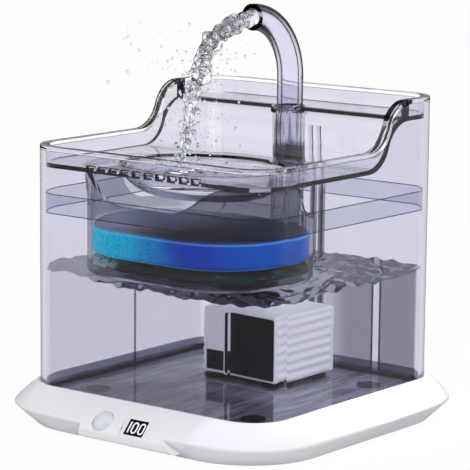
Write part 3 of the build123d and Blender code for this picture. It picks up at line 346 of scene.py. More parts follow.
def tray_paint(board, tint):
    """Clear moulding with painted shade: dark sheet lines, a greyer bowl, and a sleeve painted with streaks
    of reflection and shade that is darkest at its foot.
    """
    place, x, y, z = board.place()
    # painted shade in the hollow of the bowl
    low = board.span(z, SHEET_LOW - 0.6, SHEET_LOW - 0.1, 1.0, 0.0)
    bowl = board.maths("MULTIPLY", low, board.span(y, S_START - 1.5, S_START + 3.5, 1.0, 0.0))
    colour = board.blend(bowl, tint, (0.80, 0.80, 0.85, 1))
    # painted reflection streaks and shade on the sleeve
    reflection_streak = board.noise(place, 1.0, 3.0, 0.6, stretch=(0.28, 0.28, 0.03))
    shade_tint = board.blend(board.span(reflection_streak, 0.30, 0.48), (0.08, 0.08, 0.10, 1), (0.94, 0.94, 0.98, 1))
    # painted shade, darkest at the sleeve's foot
    foot = board.span(z, FOOT_TOP, FOOT_TOP + 7.0, 0.8, 0.0)
    shade_tint = board.blend(foot, shade_tint, (0.03, 0.03, 0.04, 1))
    off = board.reach(x, board.maths("SUBTRACT", y, SPOUT_Y))
    tube = board.span(off, SLEEVE_SHADE_REACH, SLEEVE_SHADE_REACH + 0.8, 1.0, 0.0)
    sleeve = board.maths("MULTIPLY", tube, board.span(z, SLEEVE_SHADE_TOP - 3.0, SLEEVE_SHADE_TOP, 1.0, 0.0))
    return board.blend(sheet_lines(board, x, y, z), board.blend(sleeve, colour, shade_tint), SHADE_LINE_COLOUR)


def band_paint(board, tint):
    """Translucent strip with a thin dark line along both edges."""
    z = board.place()[3]
    middle, half = (BAND_LOW + BAND_HIGH) / 2, (BAND_HIGH - BAND_LOW) / 2
    off = board.maths("ABSOLUTE", board.maths("SUBTRACT", z, middle))
    return board.blend(board.span(off, half - 0.6, half - 0.3), tint, (0.08, 0.08, 0.10, 1))


def basket_paint(board, tint):
    """Smoky cup with painted shade above the sponge: its front half darkens towards the right, and its left
    end is greyer.
    """
    x, y, z = board.place()[1:]
    # painted shade over the cup's smoky tint, deepening to the right
    shade_tint = board.blend(board.span(x, -30.0, 15.0), (0.68, 0.68, 0.73, 1), (0.26, 0.26, 0.29, 1))
    shade_tint = board.blend(board.span(y, -30.0, -12.0), shade_tint, tint)
    # painted shade on the cup's left end
    ear = board.maths("MULTIPLY", board.span(y, -66.0, -52.0), board.span(x, -48.0, -34.0, 1.0, 0.0))
    shade_tint = board.blend(ear, shade_tint, (0.50, 0.50, 0.55, 1))
    return board.blend(board.span(z, FOAM_TOP, FOAM_TOP + 4.0), tint, shade_tint)


def foam_paint(board, blue):
    """Deep blue foam, turquoise at its left end, with open cells, a painted highlight along the edges of
    its side and painted shade on its top.
    """
    place, x, _, z = board.place()
    leftwards = board.maths("MULTIPLY", x, -1.0)
    wander = board.maths("MULTIPLY_ADD", board.noise(place, 0.05, 2.0), 26.0, leftwards)
    colour = board.blend(board.span(wander, -14.0, 46.0), blue, (0.0, 0.82, 1.0, 1))
    right = board.maths("MULTIPLY", board.span(x, 30.0, 60.0), 0.16)
    colour = board.blend(right, colour, (0.0, 0.50, 0.95, 1))
    cells = board.noise(place, 0.55, 4.0, 0.7)
    cells = board.maths("MULTIPLY", board.span(cells, 0.50, 0.60), 0.42)
    colour = board.blend(cells, colour, (0.0, 0.03, 0.35, 1))
    # painted highlight along the top and bottom edges of the side
    rim = board.maths("MAXIMUM", board.within(z, FOAM_TOP - 0.6, FOAM_TOP - 0.1, 0.4),
                      board.within(z, FOAM_LOW + 0.4, FOAM_LOW + 0.9, 0.4))
    colour = board.blend(board.maths("MULTIPLY", rim, 0.35), colour, (0.25, 0.75, 0.95, 1))
    # painted shade on the top, deeper to the right
    top = board.blend(board.span(x, -35.0, 20.0), (0.26, 0.29, 0.36, 1), (0.022, 0.026, 0.042, 1))
    return board.blend(board.span(z, FOAM_TOP, FOAM_TOP + 1.2), colour, top)


def media_paint(board, green):
    """Mesh that is dark over the carbon with green glints, and pale over the resin."""
    place, x = board.place()[:2]
    wander = board.maths("MULTIPLY_ADD", board.noise(place, 0.09, 3.0), 40.0, x)
    glint = board.noise(place, 1.0, 3.0, 0.6, stretch=(0.10, 0.10, 0.5))
    dark = board.blend(board.span(glint, 0.54, 0.66), (0.004, 0.014, 0.012, 1), (0.02, 0.14, 0.08, 1))
    weave = board.noise(place, 0.42, 3.0, 0.6)
    pale = board.blend(board.span(weave, 0.48, 0.62), green, (0.07, 0.12, 0.11, 1))
    return board.blend(board.span(wander, -14.0, 4.0), pale, dark)


def water_side_paint(board, tint):
    """Still water with painted shade: greyer to the right of its rear face, and grey on its left face.

    A painted refracted image of the cord guide is on its rear face, and a painted thin dark line, the
    refracted image of the tank's rear-left corner, on its left face.
    """
    x, y, z = board.place()[1:]
    guide_image, side_line = 39.5, 9.0
    # painted shade on the rear face, deeper to the right
    shade = board.blend(board.span(x, -15.0, 22.0), (0.84, 0.83, 0.92, 1), (0.12, 0.12, 0.14, 1))
    # painted refracted image of the cord guide: a light strip with dark edges
    off = board.maths("ABSOLUTE", board.maths("SUBTRACT", x, guide_image))
    shade = board.blend(board.span(off, 1.6, 2.2, 1.0, 0.0), shade, (0.75, 0.75, 0.82, 1))
    shade = board.blend(board.within(off, 2.3, 3.2, LINE_SOFT), shade, SHADE_LINE_COLOUR)
    # painted shade on the left face with a painted dark line, the refracted image of the tank's rear-left
    # corner
    left = board.within(y, side_line - 0.8, side_line + 0.8, LINE_SOFT)
    left = board.maths("MULTIPLY", left, board.within(z, TANK_BED + 2.5, 66.0, 4.0))
    left = board.blend(left, (0.70, 0.70, 0.73, 1), (0.04, 0.04, 0.05, 1))
    colour = board.blend(board.span(x, -78.5, -77.0, 1.0, 0.0), tint, left)
    return board.blend(board.span(y, 77.0, 78.5), colour, shade)


LAVENDER = (0.86, 0.855, 0.925)
# edge colour of the tank: painted shade where its walls are seen edge on
DARK_EDGE = (0.16, 0.16, 0.20)
# One finish for each material slot of the CAD parts
FINISHES = {
    "white_shell": moulded("white shell", (0.90, 0.90, 0.96), gloss=0.32, Coat_Weight=0.15),
    "foot_rubber": moulded("foot rubber", (0.62, 0.62, 0.65), gloss=0.7),
    "fixing_steel": moulded("fixing steel", (0.60, 0.61, 0.63), gloss=0.3, Metallic=1.0),
    "sensor_lens": moulded("sensor dome", (0.80, 0.80, 0.87), gloss=0.14, Subsurface_Weight=0.1),
    "circuit_board": moulded("circuit board", (0.02, 0.14, 0.07), gloss=0.4),
    "display_frame": moulded("display frame", (0.90, 0.90, 0.95), gloss=0.35),
    "display_window": moulded("display window", (0.002, 0.002, 0.0025), gloss=0.2, spread=0.03,
                              Specular_IOR_Level=0.1),
    "battery_wrap": moulded("battery wrap", (0.05, 0.10, 0.25), gloss=0.35),
    "button_cap": moulded("button cap", (0.62, 0.63, 0.70), gloss=0.3),
    "clear_tank": clear("clear tank", LAVENDER, edge=DARK_EDGE, edge_from=0.84, paint=tank_paint),
    "pad_rubber": moulded("pad rubber", (0.004, 0.004, 0.005), gloss=0.6, Specular_IOR_Level=0.2),
    "level_tint": clear("level tint", (0.78, 0.785, 0.85), ior=1.03, paint=band_paint),
    "clear_tray": clear("clear tray", (0.96, 0.96, 0.985), edge=(0.02, 0.02, 0.03), edge_from=0.86,
                        edge_to=0.97, paint=tray_paint),
    "collar_silicone": clear("collar silicone", (0.45, 0.45, 0.50), gloss=0.2),
    "clear_spout": clear("clear spout", (0.83, 0.82, 0.90), edge=(0.004, 0.004, 0.005), edge_from=0.38,
                         edge_to=0.60, ior=1.2),
    "smoke_basket": clear("smoke basket", (0.84, 0.84, 0.90), edge=(0.03, 0.03, 0.04), edge_from=0.55,
                          edge_to=0.95, ior=1.15, paint=basket_paint),
    "blue_foam": moulded("blue foam", (0.0, 0.055, 0.52), gloss=0.9, grain=1.2, depth=0.8, paint=foam_paint,
                         Specular_IOR_Level=0.05),
    "filter_mesh": moulded("filter mesh", (0.50, 0.58, 0.54), gloss=0.8, grain=1.8, depth=0.5,
                           paint=media_paint, Specular_IOR_Level=0.15),
    "carbon_grains": moulded("carbon grains", (0.012, 0.014, 0.014), gloss=0.5, grain=0.7, depth=0.6),
    "resin_beads": moulded("resin beads", (0.45, 0.45, 0.30), gloss=0.4, grain=0.7, depth=0.6),
    "pump_white": moulded("pump white", (0.93, 0.93, 0.96), gloss=0.4),
    "pump_plate": moulded("pump plate", (0.002, 0.002, 0.0035), gloss=0.35, Specular_IOR_Level=0.1),
    "pump_rubber": moulded("pump rubber", (0.003, 0.003, 0.004), gloss=0.55, Specular_IOR_Level=0.15),
    "core_steel": moulded("core steel", (0.30, 0.31, 0.33), gloss=0.45, Metallic=1.0),
    "coil_resin": moulded("coil resin", (0.35, 0.10, 0.02), gloss=0.4),
    "magnet": moulded("magnet", (0.02, 0.02, 0.021), gloss=0.4),
    "rotor_white": moulded("rotor white", (0.74, 0.75, 0.77), gloss=0.4),
    "bush_ceramic": moulded("bush ceramic", (0.85, 0.85, 0.82), gloss=0.25),
    "riser_white": moulded("riser white", (0.86, 0.86, 0.90), gloss=0.3),
}

slots = {part["node"]: part["material_slot"] for part in frame["record"]["subparts"]}
for node, piece in frame["nodes"].items():
    piece.data.materials.clear()
    piece.data.materials.append(FINISHES[slots[node]])


# New pieces

def add_piece(name, body, slot, material, points, faces, smooth=True):
    """Mesh from points in millimetres and arrays of faces; it rides on a body and takes the material given.
    The slot is not used.
    """
    mesh = bpy.data.meshes.new(name)
    corners = [face for group in faces for face in group.tolist()]
    mesh.from_pydata((np.asarray(points) * MM).tolist(), [], corners)
    mesh.materials.append(material)
    mesh.polygons.foreach_set("use_smooth", np.full(len(mesh.polygons), smooth))
    mesh.validate()
    piece = bpy.data.objects.new(name, mesh)
    bpy.context.scene.collection.objects.link(piece)
    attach(piece, body)
    return piece


def shell_faces(rows, columns):
    """Faces of a grid that closes round its columns: an array of quads, and one of fans to both poles."""
    i, j = np.meshgrid(np.arange(rows - 1), np.arange(columns), indexing="ij")
    k = (j + 1) % columns
    quads = np.stack([i * columns + j, i * columns + k, (i + 1) * columns + k, (i + 1) * columns + j], -1)
    around = np.arange(columns)
    after = (around + 1) % columns
    last = (rows - 1) * columns
    first_fan = np.stack([np.full(columns, rows * columns), after, around], -1)
    last_fan = np.stack([np.full(columns, rows * columns + 1), last + around, last + after], -1)
    return quads.reshape(-1, 4), np.concatenate([first_fan, last_fan])


def closed(points):
    """Points of a shell with its two poles added, the means of its first and last rows, and its faces."""
    rows, columns = points.shape[:2]
    poles = np.array([points[0].mean(0), points[-1].mean(0)])
    return np.concatenate([points.reshape(-1, 3), poles]), shell_faces(rows, columns)


def full_turn(columns):
    """Angles of one full turn, the last a step short of the first."""
    return np.linspace(0, 2 * np.pi, columns, endpoint=False)


def rounded_square(angle, half_x, half_y, corner):
    """Outline by angle: a rectangle of straight sides and round corners, spaced evenly along its length.

    The angle's share of a turn is the same share of the outline's length. The outline is nine legs: half a
    side, then corners and sides in turn. On a side the point moves evenly from end to end, and on a corner
    it is the corner's middle plus the radius times the cosine and sine of its bend.
    """
    run_x, run_y = 2 * (half_x - corner), 2 * (half_y - corner)
    turn = corner * np.pi / 2
    legs = np.array([run_y / 2, turn, run_x, turn, run_y, turn, run_x, turn, run_y / 2])
    ends = np.concatenate([[0], np.cumsum(legs)])
    way = angle / (2 * np.pi) * ends[-1]
    step = np.clip(np.searchsorted(ends, way, side="right") - 1, 0, len(legs) - 1)
    part = (way - ends[step]) / np.maximum(legs[step], 1e-9)
    cx, cy = half_x - corner, half_y - corner
    corners = {1: (cx, cy, 0.0), 3: (-cx, cy, 0.5), 5: (-cx, -cy, 1.0), 7: (cx, -cy, 1.5)}
    x, y = np.zeros_like(way), np.zeros_like(way)
    for leg, (mx, my, start) in corners.items():
        here = step == leg
        bend = (start + part[here] / 2) * np.pi
        x[here], y[here] = mx + corner * np.cos(bend), my + corner * np.sin(bend)
    straight = {0: (half_x, 0, half_x, cy), 2: (cx, half_y, -cx, half_y), 4: (-half_x, cy, -half_x, -cy),
                6: (-cx, -half_y, cx, -half_y), 8: (half_x, -cy, half_x, 0)}
    for leg, (x0, y0, x1, y1) in straight.items():
        here = step == leg
        x[here], y[here] = x0 + (x1 - x0) * part[here], y0 + (y1 - y0) * part[here]
    return x, y


CUSHION_CORNER = 38.7  # round corners of the sponge and the bag, seen from above
FACE_RINGS, EDGE_RINGS, CUSHION_COLUMNS = 17, 6, 240


def cushion(half_x, half_y, corner, low, high, edge):
    """Slab with round edges, as rings from the middle of its underside out, up and back over the top.

    A ring is the outline drawn in by an inset. The inset shrinks evenly over a face, down to the edge's
    radius. Round the edge it is the radius times one less the sine of the bend, and the ring lies the
    radius times one less the cosine away from its face.
    """
    flat = np.linspace(0.03, 1.0, FACE_RINGS)
    bend = np.linspace(0, np.pi / 2, EDGE_RINGS + 1)[1:]
    inset = np.concatenate([(1 - flat) * (half_y - edge) + edge, edge * (1 - np.sin(bend))])
    lift = np.concatenate([np.zeros(FACE_RINGS), edge * (1 - np.cos(bend))])
    inset = np.concatenate([inset, inset[::-1]])[:, None]
    height = np.concatenate([low + lift, high - lift[::-1]])[:, None]
    x, y = rounded_square(full_turn(CUSHION_COLUMNS), half_x, half_y, corner)
    x, y = x * (1 - inset / half_x), y * (1 - inset / half_y)
    return np.stack([x, y, np.broadcast_to(height, x.shape)], -1)


def sponge():
    """Foam block with round edges, whose top is crowned and waves a little.

    The crown is one less shares of the squares of x and y over their half sizes. The wave is two sines
    and a slope, up to the left and rear. Both fade from the top down the side.
    """
    half_x, half_y = (SPONGE_HIGH - SPONGE_LOW)[:2] / 2
    crown_room, fade_from, fade = 0.9, 100.0, 12.0
    grid = cushion(half_x, half_y, CUSHION_CORNER, SPONGE_LOW[2], SPONGE_HIGH[2] - crown_room, 3.4)
    x, y = grid[..., 0], grid[..., 1]
    upper = np.clip((grid[..., 2] - fade_from) / fade, 0, 1)
    crown = 1 - (x / half_x) ** 2 * 0.7 - (y / half_y) ** 2 * 0.5
    wave = 0.5 * np.sin(x * 0.09 + 1.0) - 0.010 * x + 0.35 * np.sin(y * 0.13 - x * 0.05) + 0.008 * y
    grid[..., 2] += upper * (0.7 * crown + 0.55 * wave)
    grid[..., 1] += BASKET_Y
    piece = add_piece("sponge_foam", "sponge", "blue_foam", FINISHES["blue_foam"], *closed(grid))
    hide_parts("filter_sponge")


def pouch():
    """Mesh bag of two filled pockets: it thins to a welded seam round its edge and across its middle.

    A cushion's height over its middle is multiplied by three factors: a dip across the bag, one less e to
    the minus square of x; a fall to the edge, the root of one less a high power of how far out a point is;
    and shallow lumps, one plus products of sines.
    """
    slack, seam, rim_power = 0.1, 3.4, 3.2
    half_x, half_y = (POUCH_HIGH - POUCH_LOW)[:2] / 2 - slack
    low, high = POUCH_LOW[2], POUCH_HIGH[2] - slack
    grid = cushion(half_x, half_y, CUSHION_CORNER - slack, low, high, 2.2)
    x, y = grid[..., 0], grid[..., 1]
    middle = (low + high) / 2
    pinch = 1 - 0.72 * np.exp(-(x / seam) ** 2)
    far = (np.abs(x / half_x) ** rim_power + np.abs(y / half_y) ** rim_power) ** (1 / rim_power)
    fall = np.sqrt(np.clip(1 - np.clip(far, 0, 1) ** 7, 0.05, 1))
    lumps = 1 + 0.05 * np.sin(x * 0.42 + 0.5) * np.sin(y * 0.37) + 0.04 * np.sin(x * 0.19 - y * 0.23)
    grid[..., 2] = middle + (grid[..., 2] - middle) * pinch * fall * np.clip(lumps, 0, 1)
    grid[..., 1] += BASKET_Y
    piece = add_piece("media_bag", "media", "filter_mesh", FINISHES["filter_mesh"], *closed(grid))
    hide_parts("media_pouch", "carbon_bed", "resin_bed")


def ripples(x, y, waves):
    """Sum of plane waves: each is its height times the sine of the way along its heading, plus a phase."""
    total = np.zeros_like(x)
    for height, length, heading, phase in waves:
        run = x * np.cos(np.radians(heading)) + y * np.sin(np.radians(heading))
        total += height * np.sin(run * 2 * np.pi / length + phase)
    return total


def water(name, tint, **values):
    """Clear material with a perfectly smooth surface."""
    return clear(name, tint, gloss=0.0, grain=0.02, depth=0.0, **values)


# the water's top is tinted dark grey: painted shade
SHADED_WATER_TOP = water("water top", (0.25, 0.25, 0.29), ior=1.33)
WATER_SIDE = water("water side", (0.965, 0.965, 0.975), ior=1.0, paint=water_side_paint)
BOWL_TOP = water("bowl water", (0.93, 0.93, 0.95), ior=1.12)
STREAM_WATER = water("stream water", (0.95, 0.95, 0.965), edge=(0.10, 0.10, 0.12), edge_from=0.6, ior=1.33)
DROP_WATER = water("drop water", (0.90, 0.90, 0.93), edge=(0.03, 0.03, 0.04), edge_from=0.3, edge_to=0.8,
                   ior=1.33)

# Waves as height and length in millimetres, heading in degrees and phase
TANK_LEVEL = 83.5
TANK_WAVES = [(0.9, 47, 35, 0.4), (0.7, 29, 112, 1.9), (0.6, 17, 70, 0.3), (0.55, 13, 155, 2.2),
              (0.38, 9, 12, 0.8), (0.24, 6.5, 96, 1.2)]
BOWL_LEVEL = 143.4
BOWL_WAVES = [(0.22, 23, 20, 0.5), (0.18, 13, 100, 1.4)]
RING_Y, RING_HEIGHT, RING_LENGTH, RING_FADE = -44.0, 0.55, 8.5, 34.0  # rings where the stream falls


def tank_water():
    """Body of water with a restless top: rounded-square rings, up the tank's walls and in to the middle.

    The top's height is the level, plus plane waves at places that sines push aside, so that no crest
    stays straight, plus a swell at the front left, e to the minus square of the distance.
    """
    columns, rings, gap = 384, 110, 0.3
    low, half = TANK_BED + 0.25, TANK_INSIDE - gap
    x, y = rounded_square(full_turn(columns), half, half, TANK_CORNER - gap)
    below = [low, low, (low + TANK_LEVEL) / 2]
    share = np.concatenate([[0.01, 1, 1], np.linspace(1, 0.006, rings)])[:, None]
    x, y = share * x, share * y
    z = np.repeat(np.concatenate([below, np.full(rings, TANK_LEVEL)])[:, None], columns, 1)
    top_x, top_y = x[-rings:], y[-rings:]
    bent_x = top_x + 4 * np.sin(top_y * 0.07 + 0.4) + 2 * np.sin(top_x * 0.05)
    bent_y = top_y + 4 * np.sin(top_x * 0.06 + 1.1)
    swell = 3.4 * np.exp(-((top_x + 74) ** 2 + (top_y + 58) ** 2) / 38 ** 2)
    z[-rings:] += ripples(bent_x, bent_y, TANK_WAVES) + swell
    points, (quads, fans) = closed(np.stack([x, y, z], -1))
    piece = add_piece("tank_water", "tank", "clear_tank", SHADED_WATER_TOP, points, (quads, fans))
    piece.data.materials.append(WATER_SIDE)
    still = np.zeros(len(quads) + len(fans), dtype=np.int32)
    still[:len(below) * columns] = 1
    still[len(quads):len(quads) + columns] = 1
    piece.data.polygons.foreach_set("material_index", still)


def bowl_water():
    """Water in the bowl: ellipses from the middle of its bottom out, up its wall and in over the top.

    The wall's ellipses are as wide as the bowl at their depth. The top's height is the level, plus rings
    about the place where the stream falls, a cosine of the distance that fades with it, plus plane waves.
    All of it dies out at the wall.
    """
    columns, rings, bottom_rings, wall_rings = 192, 60, 8, 16
    rim = SHEET_LOW + 2.2
    depth = np.linspace(BOWL_DEPTH - 0.3, rim - BOWL_LEVEL, wall_rings)
    width = np.interp(depth / BOWL_DEPTH, [0.0, 0.30, 0.75, 1.0], [1.0, 0.955, 0.80, 0.56]) - 0.012
    share = np.linspace(0.985, 0.01, rings)
    bottom = np.linspace(0.01, 1, bottom_rings) * width[0]
    out = np.concatenate([bottom, width[1:], share * width[-1]])[:, None]
    z = np.concatenate([np.full(bottom_rings, rim - depth[0]), rim - depth[1:], np.full(rings, BOWL_LEVEL)])
    z = np.repeat(z[:, None], columns, 1)
    angle = full_turn(columns)
    x, y = out * BOWL_HALF_X * np.cos(angle), out * BOWL_HALF_Y * np.sin(angle) + BOWL_Y
    off = np.hypot(x[-rings:], y[-rings:] - RING_Y)
    ring = RING_HEIGHT * np.cos(off * 2 * np.pi / RING_LENGTH) * np.exp(-off / RING_FADE)
    calm = 1 - share[:, None] ** 12
    z[-rings:] += (ring + ripples(x[-rings:], y[-rings:], BOWL_WAVES)) * calm
    add_piece("bowl_water", "tray", "clear_tray", BOWL_TOP, *closed(np.stack([x, y, z], -1)))


# The stream's middle, as y and z in millimetres, from the spout's mouth to the bowl
STREAM = np.array([(15.8, 222.2), (3.7, 220.9), (-9.8, 217.8), (-19.9, 213.3), (-26.6, 207.7),
                   (-29.2, 199.6), (-31.8, 193.7), (-37.6, 187.0), (-39.4, 177.9), (-41.2, 168.8),
                   (-43.1, 159.7), (-44.8, 151.6), (-45.6, 144.0)])
STREAM_WAY = np.concatenate([[0], np.cumsum(np.hypot(*np.diff(STREAM, axis=0).T))])
THICK_AT = (0, 0.12, 0.35, 0.52, 0.62, 0.8, 1)  # shares of the stream at which a strand's radius is given


def strand(name, thick, shift, phase, start=0.0, stop=1.0):
    """One strand of the stream: a tube carried along the stream's middle.

    A running mean rounds the path, and it swings sideways by a sine that grows on the way down. A ring's
    radius is the given thickness times one plus two sines of the length, down to almost nothing at both
    ends. A sine of twice the angle makes the rings oval, and turns with the length.
    """
    rows, columns, smooth = 220, 22, 17
    at = np.linspace(start, stop, rows) * STREAM_WAY[-1]
    mean = np.ones(smooth) / smooth
    path = [np.interp(at, STREAM_WAY, part) for part in STREAM.T]
    y, z = (np.convolve(np.pad(part, smooth // 2, mode="edge"), mean, mode="valid") for part in path)
    share = at / STREAM_WAY[-1]
    x = shift * share + 0.9 * np.sin(at * 0.21 + phase) * share
    along = np.stack([np.gradient(x), np.gradient(y), np.gradient(z)], -1)
    along /= np.linalg.norm(along, axis=1)[:, None]
    side = np.cross(along, np.array([1.0, 0, 0]))
    side /= np.linalg.norm(side, axis=1)[:, None]
    across = np.cross(side, along)
    swell = 1 + 0.24 * np.sin(at * 0.33 + phase * 2) + 0.15 * np.sin(at * 0.83 + phase)
    ends = np.sqrt(np.clip(1 - (2 * np.linspace(0, 1, rows) - 1) ** 24, 0.02, 1))
    radius = np.interp(share, THICK_AT, thick) * swell * ends
    angle = full_turn(columns)
    twist = 1 + 0.20 * np.sin(2 * angle + at[:, None] * 0.25 + phase)
    ring_x, ring_y = np.cos(angle) * radius[:, None] * twist, np.sin(angle) * radius[:, None] * twist
    points = (np.stack([x, y, z], -1)[:, None, :] + ring_x[..., None] * across[:, None, :]
              + ring_y[..., None] * side[:, None, :])
    add_piece(name, "spout", "clear_spout", STREAM_WATER, *closed(points))


def ball(rows=5, columns=8):
    """Unit sphere, as points by the sine and cosine of latitude and longitude, and faces."""
    tilt, turn = np.linspace(np.pi, 0, rows + 2)[1:-1, None], full_turn(columns)
    grid = np.stack([np.sin(tilt) * np.cos(turn), np.sin(tilt) * np.sin(turn),
                     np.repeat(np.cos(tilt), columns, 1)], -1)
    points, faces = closed(grid)
    points[-2], points[-1] = (0, 0, -1), (0, 0, 1)
    return points, faces


def droplets():
    """Loose drops, seeded: a dense sleeve round the stream, a wider fall beside it and a spray to its left.

    A drop's place is a chance share of the stream's length, moved aside by normal chance times a spread.
    Its radius is a chance raised to a power, so that most drops are small, and it is drawn out upwards.
    """
    chance = np.random.default_rng(7)
    near, wide, spray = 240, 220, 60
    count = near + wide + spray
    at = np.concatenate([0.12 + 0.84 * chance.random(near) ** 0.9, 0.35 + 0.6 * chance.random(wide),
                         0.22 + 0.4 * chance.random(spray)])
    y, z = (np.interp(at * STREAM_WAY[-1], STREAM_WAY, part) for part in STREAM.T)
    spread = np.concatenate([1.7 + 1.5 * at[:near], np.full(wide, 9.0), np.full(spray, 4.0)])
    aside = chance.normal(0, 1, count) * spread
    aside[near:near + wide] += 5
    aside[near + wide:] -= 6 + 38 * chance.random(spray) ** 1.3
    across_x, across_y = 0.788, 0.616  # direction in which a drop goes aside
    x, y = across_x * aside, y + across_y * aside + chance.normal(0, 1, count) * spread * 0.6
    z = z + chance.normal(0, 1, count) * np.where(np.arange(count) < near, 1.5, 6.0)
    z = np.maximum(z, BOWL_LEVEL + 3.1)
    size = 0.34 + chance.random(count) ** 2.4
    size[near:] *= 0.62
    stretch = 1 + 0.6 * chance.random(count)
    shape, faces = ball()
    points = shape * np.stack([size, size, size * stretch], -1)[:, None, :]
    points += np.stack([x, y, z], -1)[:, None, :]
    first = len(shape) * np.arange(count)[:, None, None]
    faces = [(group + first).reshape(-1, group.shape[1]) for group in faces]
    add_piece("stream_drops", "spout", "clear_spout", DROP_WATER, points.reshape(-1, 3), faces)


# The display: the middle of its frame's face, that face's tilt, and how far out of it (less than 0: how
# deep under it) the digits' backs and fronts are
DISPLAY_X, DISPLAY_Y, DISPLAY_Z = 11.0, -97.409, 13.861
DISPLAY_TILT = radians(47.0)
DIGIT_BACK, DIGIT_FRONT = -0.97, -0.85
DIGIT_HEIGHT, DIGIT_STROKE = 6.9, 0.78


def control_place(x, up, out):
    """Point of the display by millimetres across, up its slope and out of it, turned by the tilt."""
    y = DISPLAY_Y + np.cos(DISPLAY_TILT) * up - np.sin(DISPLAY_TILT) * out
    z = DISPLAY_Z + np.sin(DISPLAY_TILT) * up + np.cos(DISPLAY_TILT) * out
    return np.stack(np.broadcast_arrays(DISPLAY_X + x, y, z), -1)


def bar(width, height, middle):
    """Upright block, as points and quads."""
    x = middle + np.array([-1, 1, 1, -1]) * width / 2
    up = np.array([-1, -1, 1, 1]) * height / 2
    points = [control_place(x, up, out) for out in (DIGIT_BACK, DIGIT_FRONT)]
    quads = np.array([[3, 2, 1, 0], [4, 5, 6, 7], [0, 1, 5, 4], [1, 2, 6, 5], [2, 3, 7, 6], [3, 0, 4, 7]])
    return np.concatenate(points), quads


def stadium(width, height, middle, columns=72):
    """Closed ring of a flat section with two round ends and two straight sides, as points and quads.

    A point is its radius times the cosine and sine of its angle, and the upper half of the ring is moved
    up and the lower half down, by half the length of the straight side.
    """
    angle = full_turn(columns)[:, None] + 0.001
    radius = width / 2 + DIGIT_STROKE * np.array([-1.0, -1.0, 0.0, 0.0])
    out = np.array([DIGIT_BACK, DIGIT_FRONT, DIGIT_FRONT, DIGIT_BACK])
    up = radius * np.sin(angle) + (height - width) / 2 * np.sign(np.sin(angle))
    points = control_place(middle + radius * np.cos(angle), up, out)
    i, j = np.meshgrid(np.arange(columns), np.arange(4), indexing="ij")
    k, m = (i + 1) % columns, (j + 1) % 4
    quads = np.stack([i * 4 + j, i * 4 + m, k * 4 + m, k * 4 + j], -1).reshape(-1, 4)
    return points.reshape(-1, 3), quads


def digits():
    """The level read-out, 100: a bar and two rings that stand just off the window."""
    lit = moulded("lit digits", (0.92, 0.92, 0.97), gloss=0.5, Emission_Color=(1, 1, 1, 1),
                  Emission_Strength=0.25)
    shapes = [bar(0.84, 6.6, -4.5), stadium(3.7, DIGIT_HEIGHT, -1.0), stadium(3.7, DIGIT_HEIGHT, 3.7)]
    first = np.cumsum([0] + [len(points) for points, _ in shapes])
    faces = [quads + start for (_, quads), start in zip(shapes, first)]
    points = np.concatenate([points for points, _ in shapes])
    add_piece("level_digits", "base", "display_frame", lit, points, faces, smooth=False)


sponge()
pouch()
tank_water()
bowl_water()
strand("stream_core", (4.3, 4.6, 4.2, 4.6, 2.6, 1.5, 1.3), 0.0, 0.3)
strand("stream_left", (1.8, 2.6, 2.9, 3.2, 1.8, 1.1, 0.8), -3.4, 2.1, 0.04, 0.93)
strand("stream_right", (1.6, 2.3, 2.6, 2.4, 1.3, 0.8, 0.7), 3.0, 4.0, 0.04, 0.86)
droplets()
digits()


# Light, ground and camera

def seen_by(board, path, camera, glossy, through):
    """One value each for rays from the camera, mirrored rays and rays that went through glass."""
    total = board.maths("MULTIPLY", path.outputs["Is Camera Ray"], camera)
    total = board.maths("MULTIPLY_ADD", path.outputs["Is Glossy Ray"], glossy, total)
    return board.maths("MULTIPLY_ADD", path.outputs["Is Transmission Ray"], through, total)


MIRROR_LOSS = 0.25  # how much less a ray through glass sees if it was also mirrored on its way


def kept(board, path, through):
    """Value for rays through glass, less a share for those that were also mirrored on their way."""
    mirrored = board.maths("MINIMUM", path.outputs["Glossy Depth"], 1.0)
    return board.maths("MULTIPLY", board.maths("MULTIPLY_ADD", mirrored, -MIRROR_LOSS, 1.0), through)


def paper(name, colour):
    """Pale card that keeps a soft shadow and reads as white where it is only seen."""
    board, out, material = start_material(name)
    card = board.put("ShaderNodeBsdfDiffuse")
    card.inputs["Color"].default_value = rgba(colour)
    white = board.put("ShaderNodeEmission")
    path = board.put("ShaderNodeLightPath")
    share = board.maths("MINIMUM", seen_by(board, path, 0.96, 1.0, 0.93), 1.0)
    board.join(seen_by(board, path, 1.0, 0.09, kept(board, path, 1.0)), white.inputs["Strength"])
    mix = board.put("ShaderNodeMixShader")
    board.join(share, mix.inputs[0])
    board.join(card.outputs[0], mix.inputs[1])
    board.join(white.outputs[0], mix.inputs[2])
    board.join(mix.outputs[0], out.inputs["Surface"])
    return material


def ground():
    """Sheet of paper, wider than any view, under the feet."""
    mesh = bpy.data.meshes.new("ground")
    half = 6.0
    corners = [(-half, -half, 0), (half, -half, 0), (half, half, 0), (-half, half, 0)]
    mesh.from_pydata(corners, [], [(0, 1, 2, 3)])
    floor = bpy.data.objects.new("ground", mesh)
    bpy.context.scene.collection.objects.link(floor)
    mesh.materials.append(paper("ground paper", (0.95, 0.95, 0.95)))


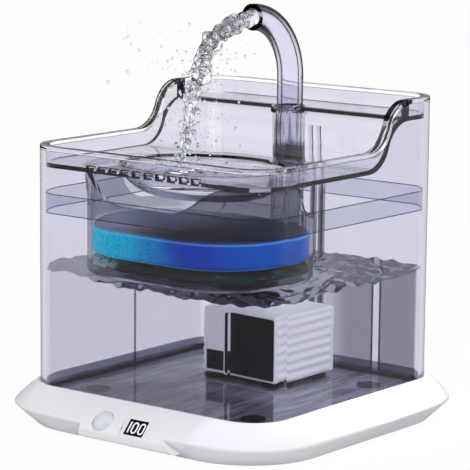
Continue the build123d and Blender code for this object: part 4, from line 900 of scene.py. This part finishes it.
def sky():
    """White to the camera and through glass; mirrored rays meet a dim room with three bright panels."""
    world = bpy.data.worlds.new("studio")
    bpy.context.scene.world = world
    world.use_nodes = True
    world.node_tree.nodes.clear()
    board = Board(world.node_tree)
    out = board.put("ShaderNodeOutputWorld")
    back = board.put("ShaderNodeBackground")
    back.inputs["Color"].default_value = (1, 1, 1, 1)
    path = board.put("ShaderNodeLightPath")
    parts = board.put("ShaderNodeSeparateXYZ")
    board.join(board.put("ShaderNodeTexCoord").outputs["Generated"], parts.inputs[0])
    x, y, up = parts.outputs
    walls = board.maths("MAXIMUM", board.span(x, 0.94, 0.98), board.span(y, -0.98, -0.94, 1.0, 0.0))
    panels = board.maths("MAXIMUM", board.span(up, 0.7, 0.9), walls)
    mirrored = board.maths("MULTIPLY_ADD", panels, 1.1, 0.11)
    through = kept(board, path, board.span(up, 0.15, 0.5, 1.0, 0.45))
    direct = seen_by(board, path, 1.0, mirrored, through)
    known = board.maths("MINIMUM", seen_by(board, path, 1.0, 1.0, 1.0), 1.0)
    soft = board.maths("MULTIPLY", board.maths("SUBTRACT", 1.0, known), 0.64)
    board.join(board.maths("ADD", direct, soft), back.inputs["Strength"])
    board.join(back.outputs[0], out.inputs["Surface"])


def lamp(name, place, aim, size, power, spread=180):
    """Area lamp that faces its aim; spread is the angle of its cone, in degrees."""
    light = bpy.data.lights.new(name, "AREA")
    light.shape = "RECTANGLE"
    light.size, light.size_y = size
    light.energy = power
    light.spread = radians(spread)
    thing = bpy.data.objects.new(name, light)
    bpy.context.scene.collection.objects.link(thing)
    thing.location = place
    thing.rotation_euler = (Vector(aim) - Vector(place)).to_track_quat("-Z", "Y").to_euler()


def camera():
    """Long lens from the front right, a little above, and half a degree of roll."""
    eye, aim, roll = Vector((0.8303, -1.0601, 0.3332)), Vector((0, 0, 0.1028)), radians(0.55)
    data = bpy.data.cameras.new("camera")
    data.lens, data.sensor_width = 189.1, 36.0
    data.clip_start = 0.05
    thing = bpy.data.objects.new("camera", data)
    bpy.context.scene.collection.objects.link(thing)
    turn = (aim - eye).to_track_quat("-Z", "Y").to_matrix() @ Matrix.Rotation(roll, 3, "Z")
    thing.matrix_world = Matrix.Translation(eye) @ turn.to_4x4()
    bpy.context.scene.camera = thing


ground()
sky()
lamp("key", (1.1, -0.5, 1.1), (0, 0, 0.1), (0.8, 0.8), 6.4)
lamp("top", (0.1, 0.45, 1.3), (0.01, 0.03, 0.07), (0.1, 0.1), 0.38, spread=6.5)
lamp("fill", (-0.9, -0.9, 0.7), (0, 0, 0.1), (0.9, 0.9), 2.8)
camera()
scene = bpy.context.scene
scene.view_settings.view_transform = "Standard"
scene.cycles.transparent_max_bounces = 24
scene.cycles.transmission_bounces = 24
scene.cycles.max_bounces = 24
